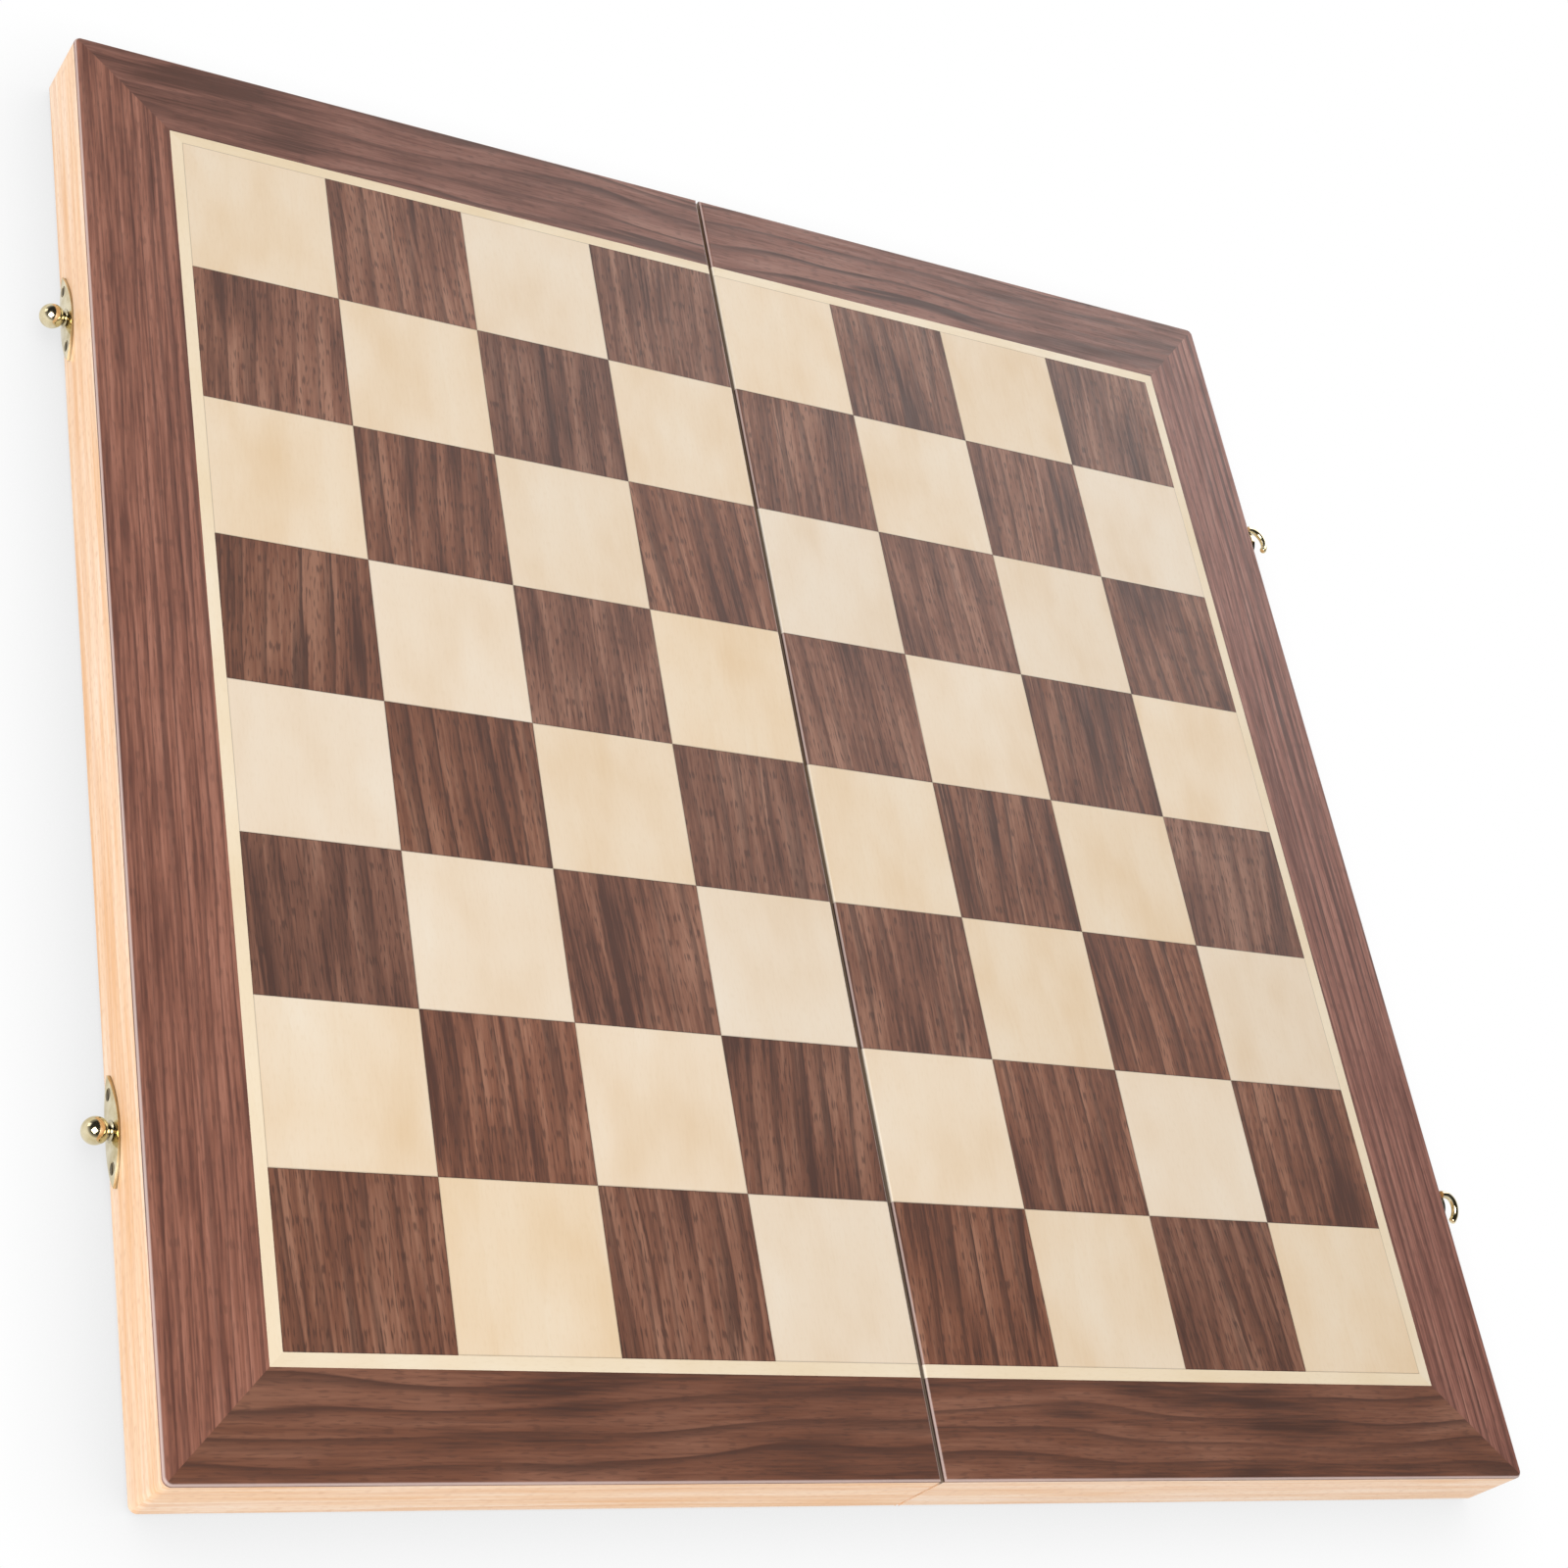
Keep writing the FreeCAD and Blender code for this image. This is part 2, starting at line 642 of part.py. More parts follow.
def hook_rivet(end):
    """Rivet that the hook turns on: tail in the rail, collar under the hook, domed head over it."""
    return turned(f"{end}_hook_rivet", "right", "pivot_z", along(end, "latch_offset"), [
        ("0", "-rivet_length"),
        ("rivet_radius", "-rivet_length"),
        ("rivet_radius", "plate_crest"),
        ("rivet_collar", "plate_crest"),
        ("rivet_collar", "hook_standoff - hook_play"),
        ("rivet_radius", "hook_standoff - hook_play"),
        ("rivet_radius", "rivet_top"),
        ("rivet_head", "rivet_top", "rivet_dome", "0", "rivet_top + rivet_head_height - rivet_dome"),
        ("0", "rivet_top + rivet_head_height"),
    ])


# Latch plates and hooks

def cylinder(label, radius, height, axis, angle, x, y, z):
    """Make a cylinder that stands along +Z, turned about an axis and put at three formulas."""
    solid = doc.addObject("Part::Cylinder", label)
    bind(solid, "Radius", radius)
    bind(solid, "Height", height)
    solid.Placement = FreeCAD.Placement(V(), FreeCAD.Rotation(axis, angle))
    place(solid, x, y, z)
    return solid


def countersink(label, turn, x, y, z):
    """Make the cone that a countersunk plate screw sits in, with its wide end outward."""
    cone = doc.addObject("Part::Cone", label)
    bind(cone, "Radius1", "plate_screw_shank + screw_clearance")
    bind(cone, "Radius2", "plate_screw_head + screw_clearance + (plate_screw_head - plate_screw_shank)")
    bind(cone, "Height", "2 * plate_sink")
    cone.Placement = FreeCAD.Placement(V(), FreeCAD.Rotation(V(0, 1, 0), turn))
    place(cone, x, y, z)
    return cone


def latch_plate(label, half, end, height, centre_radius):
    """Domed plate with pointed ends: two crossing discs trimmed by a shallow cylinder along its length."""
    turn = 90 if half == "right" else -90
    face = across(half, "half_width")
    middle = along(end, "latch_offset")
    deep = "2 * plate_crest"
    discs = []
    for step in ("-", "+"):
        discs.append(cylinder(f"{label}_disc_{len(discs)}", "lens_radius", deep, V(0, 1, 0), turn,
                              face, middle, f"{height} {step} lens_shift"))
    dome_axis = across(half, "half_width + plate_crest - dome_radius")
    discs.append(cylinder(f"{label}_dome", "dome_radius", "2 * plate_length", V(1, 0, 0), 90,
                          dome_axis, f"{middle} + plate_length", height))
    blank = doc.addObject("Part::MultiCommon", f"{label}_blank")
    blank.Shapes = discs
    tools = [cylinder(f"{label}_centre", centre_radius, deep, V(0, 1, 0), turn, face, middle, height)]
    sink_floor = across(half, "half_width + plate_screw_top - plate_sink")
    for step in ("-", "+"):
        spot = f"{middle} {step} plate_screw_step"
        tools.append(cylinder(f"{label}_hole_{len(tools)}", "plate_screw_shank + screw_clearance",
                              deep, V(0, 1, 0), turn, face, spot, height))
        tools.append(countersink(f"{label}_sink_{len(tools)}", turn, sink_floor, spot, height))
    drills = doc.addObject("Part::MultiFuse", f"{label}_drills")
    drills.Shapes = tools
    plate = doc.addObject("Part::Cut", label)
    plate.Label = label
    plate.Base = blank
    plate.Tool = drills
    return plate


def hook(end):
    """Swing hook: an eye on the rivet, an arm, a throat for the knob's neck and a curled finger horn.

    In the body's own plane the rivet is at the origin and the hook stands up along the second axis.
    The throat follows an arc about the rivet, so that the neck enters it as the hook swings.
    """
    body = new_body(f"{end}_hook")
    arm_edge = "hook_arm_width / 2"
    arm_top = "catch_distance - throat_radius - hook_wall / 2"
    flats = [
        lambda sketch: ring(sketch, "0", "0", "hook_eye"),
        lambda sketch: rectangle(sketch, f"-{arm_edge}", arm_edge, "0", arm_top),
        lambda sketch: ring(sketch, "0", "catch_distance", "hook_head"),
        lambda sketch: rectangle(sketch, "horn_stem - horn_radius", "horn_stem + horn_radius",
                                 "catch_distance", "horn_rise"),
        lambda sketch: ring(sketch, "horn_stem", "horn_rise", "horn_radius"),
    ]
    for draw in flats:
        sketch = new_sketch(body, "YZ_Plane")
        draw(sketch)
        pad(body, sketch, "hook_thickness")
    bore = new_sketch(body, "YZ_Plane")
    ring(bore, "0", "0", "rivet_radius + screw_clearance")
    pocket(body, bore, "2 * hook_thickness", along_normal=True)
    throat = new_sketch(body, "YZ_Plane")
    upper = "catch_distance + throat_radius"
    lower = "catch_distance - throat_radius"
    sweep = "throat_sweep * 1 deg"
    outline(throat, [
        ("0", lower, "throat_radius", "0", "catch_distance"),
        ("throat_radius", "catch_distance", "throat_radius", "0", "catch_distance"),
        ("0", upper, upper, "0", "0"),
        (f"-({upper}) * sin({sweep})", f"({upper}) * cos({sweep})"),
        (f"-({lower}) * sin({sweep})", f"({lower}) * cos({sweep})", lower, "0", "0"),
    ])
    pocket(body, throat, "2 * hook_thickness", along_normal=True)
    curl = new_sketch(body, "YZ_Plane", "hook_thickness")
    ring(curl, "horn_stem", "horn_rise", "horn_radius")
    centre = "horn_stem - horn_turn"
    foot = V(number(centre), 0, 0)
    axis = curl.addGeometry(Part.LineSegment(foot, foot + V(0, number("horn_rise"), 0)), True)
    for point, level in ((1, "0"), (2, "horn_rise")):
        fix(curl, "DistanceX", axis, point, centre)
        fix(curl, "DistanceY", axis, point, level)
    horn = revolve(body, curl, "Axis0", "horn_sweep")
    doc.recompute()
    if body.Shape.BoundBox.XMax < number("hook_thickness + horn_turn / 2"):
        horn.Reversed = True
    tip = number("horn_radius / 2")
    round_edges(body, "horn_ease", lambda middle, span: middle.x > number("hook_thickness + horn_radius")
                and middle.y < number(centre) + tip and span.DiagonalLength < 8 * tip)
    body.Placement = FreeCAD.Placement(V(), FreeCAD.Rotation(V(1, 0, 0), number(f"{end}_hook_lean")))
    bind(body, "Placement.Rotation.Angle", f"{end}_hook_lean * 1 deg")
    place(body, "half_width + hook_standoff", along(end, "latch_offset"), "pivot_z")
    return body


# Butt hinges

def hinge_leaf(half, end):
    """Leaf let into the rim, rolled round the pin and notched for the other leaf's knuckles.

    The body's origin is the middle of the pin. The left leaf keeps the first, third and fifth knuckle and the
    right leaf the second and fourth.
    """
    body = new_body(f"{end}_hinge_{half}_leaf")
    flat = new_sketch(body, "XY_Plane", "axis_drop")
    rectangle(flat, across(half, "(barrel_radius + pin_radius) / 2"), across(half, "leaf_reach"),
              "-hinge_length / 2", "hinge_length / 2")
    pad(body, flat, "leaf_thickness")
    roll = new_sketch(body, "XZ_Plane")
    ring(roll, "0", "0", "barrel_radius")
    pad(body, roll, "hinge_length", symmetric=True)
    bore = new_sketch(body, "XZ_Plane")
    ring(bore, "0", "0", "pin_radius + pin_clearance")
    pocket(body, bore, "2 * hinge_length", symmetric=True)
    gaps = new_sketch(body, "XY_Plane")
    for knuckle in range(5):
        own = knuckle % 2 == (0 if half == "left" else 1)
        if own:
            continue
        rectangle(gaps, across(half, "-2 * barrel_radius"), across(half, "barrel_room"),
                  f"({knuckle} - 2.5) * knuckle_pitch - knuckle_gap / 2",
                  f"({knuckle} - 1.5) * knuckle_pitch + knuckle_gap / 2")
    pocket(body, gaps, "4 * barrel_radius", symmetric=True)
    for step in ("-1", "1"):
        spot = (across(half, "hinge_screw_inset"), f"{step} * hinge_screw_step")
        hole = new_sketch(body, "XY_Plane", "axis_drop")
        ring(hole, *spot, "hinge_screw_shank + screw_clearance")
        pocket(body, hole, "leaf_thickness", along_normal=True)
        cone = body.newObject("PartDesign::SubtractiveCone", f"{body.Name}_sink")
        bind(cone, "Radius1", "hinge_screw_head + screw_clearance")
        bind(cone, "Radius2", "hinge_screw_shank + screw_clearance")
        bind(cone, "Height", "leaf_sink")
        place(cone, *spot, "axis_drop")
    place(body, "0", along(end, "hinge_offset"), "barrel_radius")
    return body


def hinge_pin(end):
    """Pin through all five knuckles."""
    label = f"{end}_hinge_pin"
    pin = cylinder(label, "pin_radius", "hinge_length", V(1, 0, 0), 90,
                   "0", f"{along(end, 'hinge_offset')} + hinge_length / 2", "barrel_radius")
    pin.Label = label
    return pin


# The whole board

def build_board():
    """Make every sub-part and list them."""
    made = []
    for half in HALVES:
        made.append(outer_rail(half))
        made.append(hinge_rail(half))
        made.append(panel(half))
        made.append(felt(half))
        made.append(squares(half, "walnut"))
        made.append(squares(half, "maple"))
        made += stringing(half)
        made += border(half)
        made.append(hinge_screws(half))
        for end in ENDS:
            made.append(end_rail(half, end))
            made.append(hinge_leaf(half, end))
    for end in ENDS:
        made.append(hinge_pin(end))
        made.append(latch_plate(f"{end}_knob_plate", "left", end, "knob_z", "tang_radius + screw_clearance"))
        made.append(ball_knob(end))
        made.append(latch_plate(f"{end}_hook_plate", "right", end, "pivot_z",
                                "rivet_radius + screw_clearance"))
        made.append(hook_rivet(end))
        made.append(hook(end))
    made.append(plate_screws("knob_plate_screws", "left", "knob_z"))
    made.append(plate_screws("hook_plate_screws", "right", "pivot_z"))
    doc.recompute()
    return made


def check_and_write(parts):
    """Stop at any failed object or bad shape, then write one file for each sub-part."""
    failed = [item.Label for item in doc.Objects if {"Invalid", "Error"} & set(item.State)]
    if failed:
        raise RuntimeError(f"failed objects: {failed}")
    for part in parts:
        if part.Shape.isNull() or not part.Shape.isValid():
            raise RuntimeError(f"bad shape: {part.Label}")
    os.makedirs("parts", exist_ok=True)
    for part in parts:
        part.Shape.exportStep(f"parts/{part.Label}.step")
        print(part.Label, len(part.Shape.Solids), round(part.Shape.Volume, 2))


check_and_write(build_board())
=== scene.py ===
"""Looks of a folding chess board: inlaid walnut and maple on beech trays, with brass hinges and latches."""
import json
import logging
import math
import random
from dataclasses import dataclass, replace
from enum import Enum
from typing import Any

import bmesh
import bpy
from bpy.types import Material, NodeSocket, NodeTree, Object
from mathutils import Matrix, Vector


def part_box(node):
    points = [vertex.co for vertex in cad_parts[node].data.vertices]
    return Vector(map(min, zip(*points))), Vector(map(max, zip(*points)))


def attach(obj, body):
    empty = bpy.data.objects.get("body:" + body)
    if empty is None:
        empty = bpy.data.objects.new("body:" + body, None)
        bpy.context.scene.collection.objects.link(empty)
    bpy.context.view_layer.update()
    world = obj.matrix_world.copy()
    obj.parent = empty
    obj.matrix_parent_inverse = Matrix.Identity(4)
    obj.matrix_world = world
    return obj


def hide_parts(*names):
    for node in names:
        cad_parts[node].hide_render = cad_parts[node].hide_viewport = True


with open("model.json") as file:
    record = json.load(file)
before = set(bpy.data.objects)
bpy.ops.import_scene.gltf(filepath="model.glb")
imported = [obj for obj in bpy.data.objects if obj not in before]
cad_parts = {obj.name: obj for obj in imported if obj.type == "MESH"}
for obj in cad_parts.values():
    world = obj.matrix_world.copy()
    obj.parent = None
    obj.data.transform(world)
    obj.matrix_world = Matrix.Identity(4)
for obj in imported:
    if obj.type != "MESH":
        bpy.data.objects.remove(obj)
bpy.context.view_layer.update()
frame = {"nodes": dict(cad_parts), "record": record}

LOG = logging.getLogger("chess_board")
MM = 0.001
HALVES = ("left", "right")
ENDS = ("front", "back")
SEAM_FACE_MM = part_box("right_hinge_rail")[0].x / MM
RAIL_TOP_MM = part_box("right_hinge_rail")[1].z / MM

# Socket numbers of the colour mixer, whose inputs share their names
MIX_FACTOR, MIX_FIRST, MIX_SECOND, MIX_RESULT = 0, 6, 7, 2

# Curve of the sRGB standard: end and slope of its straight part, offset and power of the rest
SRGB_KNEE, SRGB_SLOPE, SRGB_OFFSET, SRGB_POWER = 0.04045, 12.92, 0.055, 2.4
BYTE_MAX = 255

# Full range and middle of the random numbers and noises
UNIT = (0.0, 1.0)
MIDDLE = 0.5

# Rays that find out how open a place lies
OPENNESS_RAYS = 8


class Grain(Enum):
    """Direction in which the fibres of a piece of wood run."""

    ALONG_X = "x"
    ALONG_Y = "y"


class Layer(Enum):
    """Layers of wood marks: the height at which each is cut from the noise, and how many finer copies it has."""

    CLOUD = (1.0, 2.0)
    STREAK = (7.0, 2.0)
    FINE = (13.0, 1.0)
    PORE = (19.0, 0.0)
    DRIFT = (29.0, 1.0)


def linear(code: str) -> tuple[float, float, float, float]:
    """Turn an sRGB hex colour into the linear colour that shaders take.

    Args:
        code: Colour as "#RRGGBB".

    Returns:
        Linear red, green, blue and an alpha of one.
    """
    parts = [int(code[start:start + 2], 16) / BYTE_MAX for start in (1, 3, 5)]
    red, green, blue = (part / SRGB_SLOPE if part <= SRGB_KNEE
                        else ((part + SRGB_OFFSET) / (1 + SRGB_OFFSET)) ** SRGB_POWER for part in parts)
    return red, green, blue, 1.0


def add_node(tree: NodeTree, kind: str, feeds: dict[Any, Any] | None = None, out: int | str = 0,
             stops: list[tuple[float, str]] | None = None, **settings: Any) -> NodeSocket | None:
    """Add one shader node with its settings, constants and links.

    Args:
        tree: Node tree that receives the node.
        kind: Class name of the node, without the leading "ShaderNode".
        feeds: For each input, by name or number, the output to link from or the constant to set.
        out: Which output to return.
        stops: Positions and sRGB hex colours of a colour ramp.
        settings: Properties of the node itself.

    Returns:
        The chosen output of the new node, or none for a node without outputs.
    """
    node = tree.nodes.new("ShaderNode" + kind)
    for name, value in settings.items():
        setattr(node, name, value)
    for key, value in (feeds or {}).items():
        if isinstance(value, NodeSocket):
            tree.links.new(value, node.inputs[key])
        else:
            node.inputs[key].default_value = value
    if stops:
        marks = node.color_ramp.elements
        while len(marks) < len(stops):
            marks.new(MIDDLE)
        for mark, (position, code) in zip(marks, stops):
            mark.position = position
            mark.color = linear(code)
    return node.outputs[out] if node.outputs else None


def remap(tree: NodeTree, value: NodeSocket, span: tuple[float, ...], onto: tuple[float, float] = UNIT,
          **settings: Any) -> NodeSocket:
    """Map one range of numbers onto another and stop at its ends.

    Args:
        tree: Node tree that receives the node.
        value: Number to map.
        span: Start and end of the range that it comes from.
        onto: Start and end of the range that it goes to.
        settings: Properties of the node itself.

    Returns:
        Output with the mapped number.
    """
    return add_node(tree, "MapRange", {0: value, 1: span[0], 2: span[1], 3: onto[0], 4: onto[1]}, **settings)


def new_material(name: str) -> tuple[Material, NodeTree]:
    """Start a material with an empty node tree.

    Args:
        name: Name of the material.

    Returns:
        The material and its node tree.
    """
    material = bpy.data.materials.new(name)
    material.use_nodes = True
    material.node_tree.nodes.clear()
    return material, material.node_tree


def dress(node_name: str, material: Material) -> None:
    """Give a CAD node its finish and report it.

    Args:
        node_name: Name of the node.
        material: Finish for all its faces.
    """
    mesh = frame["nodes"][node_name].data
    mesh.materials.clear()
    mesh.materials.append(material)
    LOG.info("%s wears %s", node_name, material.name)


@dataclass(frozen=True)
class TileGrid:
    """Where the playing squares lie, so that each can be cut from its own piece of veneer."""

    pitch_mm: float
    seam_mm: float


@dataclass(frozen=True)
class RingCourse:
    """How a growth ring runs, from zero at its pale start to one at its end, and where it fades."""

    unevenness: float = 1.6
    darkening: tuple[float, float] = (0.55, 0.93)
    ending: tuple[float, float] = (0.93, 1.0)
    fading: tuple[float, float] = (0.35, 0.6)
    faintest: float = 0.3
    strength: tuple[float, float] = (0.4, 1.1)


@dataclass(frozen=True)
class PaintedEdgeLightAndGlue:
    """Painted highlight on round edges, painted shade on the upper edges of the seam's faces, and dark glue lines.

    The rises are the upward shares of a face's direction between which an edge counts as round.
    """

    rise_from: tuple[float, float] = (0.15, 0.45)
    rise_to: tuple[float, float] = (0.8, 0.97)
    # Share of the painted highlight colour on round edges
    weight: float = 0.75
    # Painted seam shade: share of colour left, how deep into the face and how far below the top it reaches
    seam_light: float = 0.3
    seam_shade_depth_mm: tuple[float, float] = (0.02, 0.1)
    seam_shade_drop_mm: tuple[float, float] = (2.6, 1.0)
    glue_mm: tuple[float, float] = (0.12, 0.3)
    glue_light: float = 0.7


@dataclass(frozen=True)
class WoodFinish:
    """Lacquered wood: clouds, growth rings, streaks and pores drawn out along the grain.

    Sizes are the width across the grain and the length along it, in millimetres. The weights are the shares of
    clouds, streaks and fine streaks in the colour. Spans are parts of a noise's range.
    """

    name: str
    dark: str
    body: str
    light: str
    ring: str
    pore: str
    cloud_mm: tuple[float, float]
    streak_mm: tuple[float, float]
    fine_mm: tuple[float, float]
    pore_mm: tuple[float, float]
    weights: tuple[float, float, float]
    ring_mm: float
    wander_mm: float
    wander_length_mm: float
    contrast: float
    ring_weight: float
    pore_weight: float
    tilt: float
    tile_value: float
    tile_saturation: float
    roughness: float
    depth_mm: float
    # Colour of the painted highlight on rounded edges
    edge_highlight: str
    rings: RingCourse = RingCourse()
    edge_light: PaintedEdgeLightAndGlue = PaintedEdgeLightAndGlue()
    noise_span: tuple[float, float] = (0.3, 0.7)
    noise_roughness: float = 0.55
    pore_span: tuple[float, float] = (0.58, 0.7)
    tone_reach: float = 0.16
    gloss_spread: tuple[float, float] = (0.06, -0.05)
    relief: float = 0.3
    lacquer_ior: float = 1.5
    stretches_mm: float = 900.0
    drift_slimness: float = 3.0

    def material(self, label: str, grain: Grain, plank: int, upright: float = 0.0,
                 tiles: TileGrid | None = None) -> Material:
        """Make the material for one piece of wood.

        Args:
            label: Which piece it is for.
            grain: Direction of the fibres.
            plank: Number that picks another stretch of the same wood.
            upright: How much height counts as width across the grain, for solid wood.
            tiles: Grid of playing squares, each cut from its own stretch.

        Returns:
            The finished material.
        """
        material, tree = new_material(f"{self.name}_{label}")
        place = add_node(tree, "TexCoord", out="Object")
        millimetres = add_node(tree, "VectorMath", {0: place, "Scale": 1 / MM}, operation="SCALE")
        chance, joint = self._chance(tree, millimetres, plank, tiles)
        across, along = self._grain_axes(tree, millimetres, chance, grain, upright)
        wavy = self._wavy(tree, across, along)
        cloud = self._stretched(tree, wavy, along, self.cloud_mm, Layer.CLOUD)
        streak = self._stretched(tree, wavy, along, self.streak_mm, Layer.STREAK)
        fine = self._stretched(tree, across, along, self.fine_mm, Layer.FINE)
        pore = self._stretched(tree, across, along, self.pore_mm, Layer.PORE)
        ring = self._rings(tree, wavy, streak, cloud, chance)
        colour = self._colour(tree, cloud, streak, fine, ring, pore)
        # Painted highlight on rounded edges, then dark glue lines and painted shade along the seam
        colour = self._painted_edge_highlight(tree, colour)
        shade = self._glue_lines_and_painted_seam_shade(tree, millimetres, joint)
        colour = self._tint(tree, colour, chance, shade)
        dull, shiny = (self.roughness + change for change in self.gloss_spread)
        rough = remap(tree, fine, self.noise_span, (dull, shiny))
        ridge = add_node(tree, "Math", {0: fine, 1: pore}, operation="SUBTRACT")
        bump = add_node(tree, "Bump", {"Strength": self.relief, "Distance": self.depth_mm * MM, "Height": ridge})
        surface = add_node(tree, "BsdfPrincipled", {"Base Color": colour, "Roughness": rough,
                                                    "IOR": self.lacquer_ior, "Normal": bump})
        add_node(tree, "OutputMaterial", {"Surface": surface})
        return material

    def _chance(self, tree: NodeTree, millimetres: NodeSocket, plank: int,
                tiles: TileGrid | None) -> tuple[NodeSocket, NodeSocket | None]:
        """Give three random numbers, the same over one playing square or over the whole piece.

        Args:
            tree: Node tree of the material.
            millimetres: Place on the part.
            plank: Number that picks the stretch of wood.
            tiles: Grid of playing squares, or none.

        Returns:
            A vector output of numbers from zero to one, and the distance to the square's edge in millimetres.
        """
        if tiles is None:
            return add_node(tree, "TexWhiteNoise", {"Vector": (plank, MIDDLE, MIDDLE)}, out="Color"), None
        axes = add_node(tree, "SeparateXYZ", {0: millimetres}).node.outputs
        side = add_node(tree, "Math", {0: axes["X"]}, operation="SIGN")
        seamless = add_node(tree, "Math", {0: side, 1: -tiles.seam_mm, 2: axes["X"]}, operation="MULTIPLY_ADD")
        cells = []
        edges = []
        for value in (seamless, axes["Y"]):
            share = add_node(tree, "Math", {0: value, 1: tiles.pitch_mm}, operation="DIVIDE")
            cells.append(add_node(tree, "Math", {0: share}, operation="FLOOR"))
            one_way = add_node(tree, "Math", {0: value, 1: tiles.pitch_mm}, operation="PINGPONG")
            other_way = add_node(tree, "Math", {0: tiles.pitch_mm, 1: one_way}, operation="SUBTRACT")
            edges.append(add_node(tree, "Math", {0: one_way, 1: other_way}, operation="MINIMUM"))
        joint = add_node(tree, "Math", {0: edges[0], 1: edges[1]}, operation="MINIMUM")
        spot = add_node(tree, "CombineXYZ", {0: cells[0], 1: cells[1], 2: float(plank)})
        return add_node(tree, "TexWhiteNoise", {"Vector": spot}, out="Color"), joint

    def _grain_axes(self, tree: NodeTree, millimetres: NodeSocket, chance: NodeSocket, grain: Grain,
                    upright: float) -> tuple[NodeSocket, NodeSocket]:
        """Split a place into its distance across the grain, with a slight tilt, and along it.

        Args:
            tree: Node tree of the material.
            millimetres: Place on the part.
            chance: Random numbers that pick the stretch of wood and its tilt.
            grain: Direction of the fibres.
            upright: How much height counts as width across the grain.

        Returns:
            Outputs for the distance across and the distance along.
        """
        moved = add_node(tree, "VectorMath", {0: chance, 1: (self.stretches_mm,) * 3, 2: millimetres},
                         operation="MULTIPLY_ADD")
        axes = add_node(tree, "SeparateXYZ", {0: moved}).node.outputs
        across, along = (axes["Y"], axes["X"]) if grain is Grain.ALONG_X else (axes["X"], axes["Y"])
        across = add_node(tree, "Math", {0: axes["Z"], 1: upright, 2: across}, operation="MULTIPLY_ADD")
        picks = add_node(tree, "SeparateXYZ", {0: chance}).node.outputs
        slope = remap(tree, picks["Z"], UNIT, (-self.tilt, self.tilt))
        across = add_node(tree, "Math", {0: along, 1: slope, 2: across}, operation="MULTIPLY_ADD")
        return across, along

    def _wavy(self, tree: NodeTree, across: NodeSocket, along: NodeSocket) -> NodeSocket:
        """Let the distance across the grain wander, as growth rings do.

        Args:
            tree: Node tree of the material.
            across: Distance across the grain, in millimetres.
            along: Distance along the grain, in millimetres.

        Returns:
            Output for the wandering distance.
        """
        reach = (self.wander_length_mm / self.drift_slimness, self.wander_length_mm)
        drift = self._stretched(tree, across, along, reach, Layer.DRIFT)
        both_ways = 2 * self.wander_mm
        return add_node(tree, "Math", {0: drift, 1: both_ways, 2: across}, operation="MULTIPLY_ADD")

    def _stretched(self, tree: NodeTree, across: NodeSocket, along: NodeSocket, size_mm: tuple[float, float],
                   layer: Layer) -> NodeSocket:
        """Draw noise that is stretched along the grain.

        Args:
            tree: Node tree of the material.
            across: Distance across the grain, in millimetres.
            along: Distance along the grain, in millimetres.
            size_mm: Width and length of one mark.
            layer: Which layer of marks it is.

        Returns:
            Output from about zero to one.
        """
        width, length = size_mm
        height, detail = layer.value
        wide = add_node(tree, "Math", {0: across, 1: width}, operation="DIVIDE")
        long = add_node(tree, "Math", {0: along, 1: length}, operation="DIVIDE")
        spot = add_node(tree, "CombineXYZ", {0: wide, 1: long, 2: height})
        return add_node(tree, "TexNoise", {"Vector": spot, "Scale": 1.0, "Detail": detail,
                                           "Roughness": self.noise_roughness})

    def _rings(self, tree: NodeTree, across: NodeSocket, streak: NodeSocket, cloud: NodeSocket,
               chance: NodeSocket) -> NodeSocket:
        """Draw growth rings that darken slowly and end in a thin dark line.

        Args:
            tree: Node tree of the material.
            across: Distance across the grain, in millimetres.
            streak: Noise that makes the rings uneven.
            cloud: Noise that makes them fade in places.
            chance: Random numbers that make them fainter in some pieces.

        Returns:
            Output from zero to one, highest in the dark line.
        """
        count = add_node(tree, "Math", {0: across, 1: self.ring_mm}, operation="DIVIDE")
        uneven = add_node(tree, "Math", {0: streak, 1: self.rings.unevenness, 2: count}, operation="MULTIPLY_ADD")
        saw = add_node(tree, "Math", {0: uneven}, operation="FRACT")
        late = remap(tree, saw, self.rings.darkening, interpolation_type="SMOOTHSTEP")
        turn = remap(tree, saw, self.rings.ending, (1.0, 0.0))
        line = add_node(tree, "Math", {0: late, 1: turn}, operation="MULTIPLY")
        fade = remap(tree, cloud, self.rings.fading, (self.rings.faintest, 1.0))
        line = add_node(tree, "Math", {0: line, 1: fade}, operation="MULTIPLY")
        picks = add_node(tree, "SeparateXYZ", {0: chance}).node.outputs
        strength = remap(tree, picks["Y"], UNIT, self.rings.strength)
        return add_node(tree, "Math", {0: line, 1: strength}, operation="MULTIPLY")

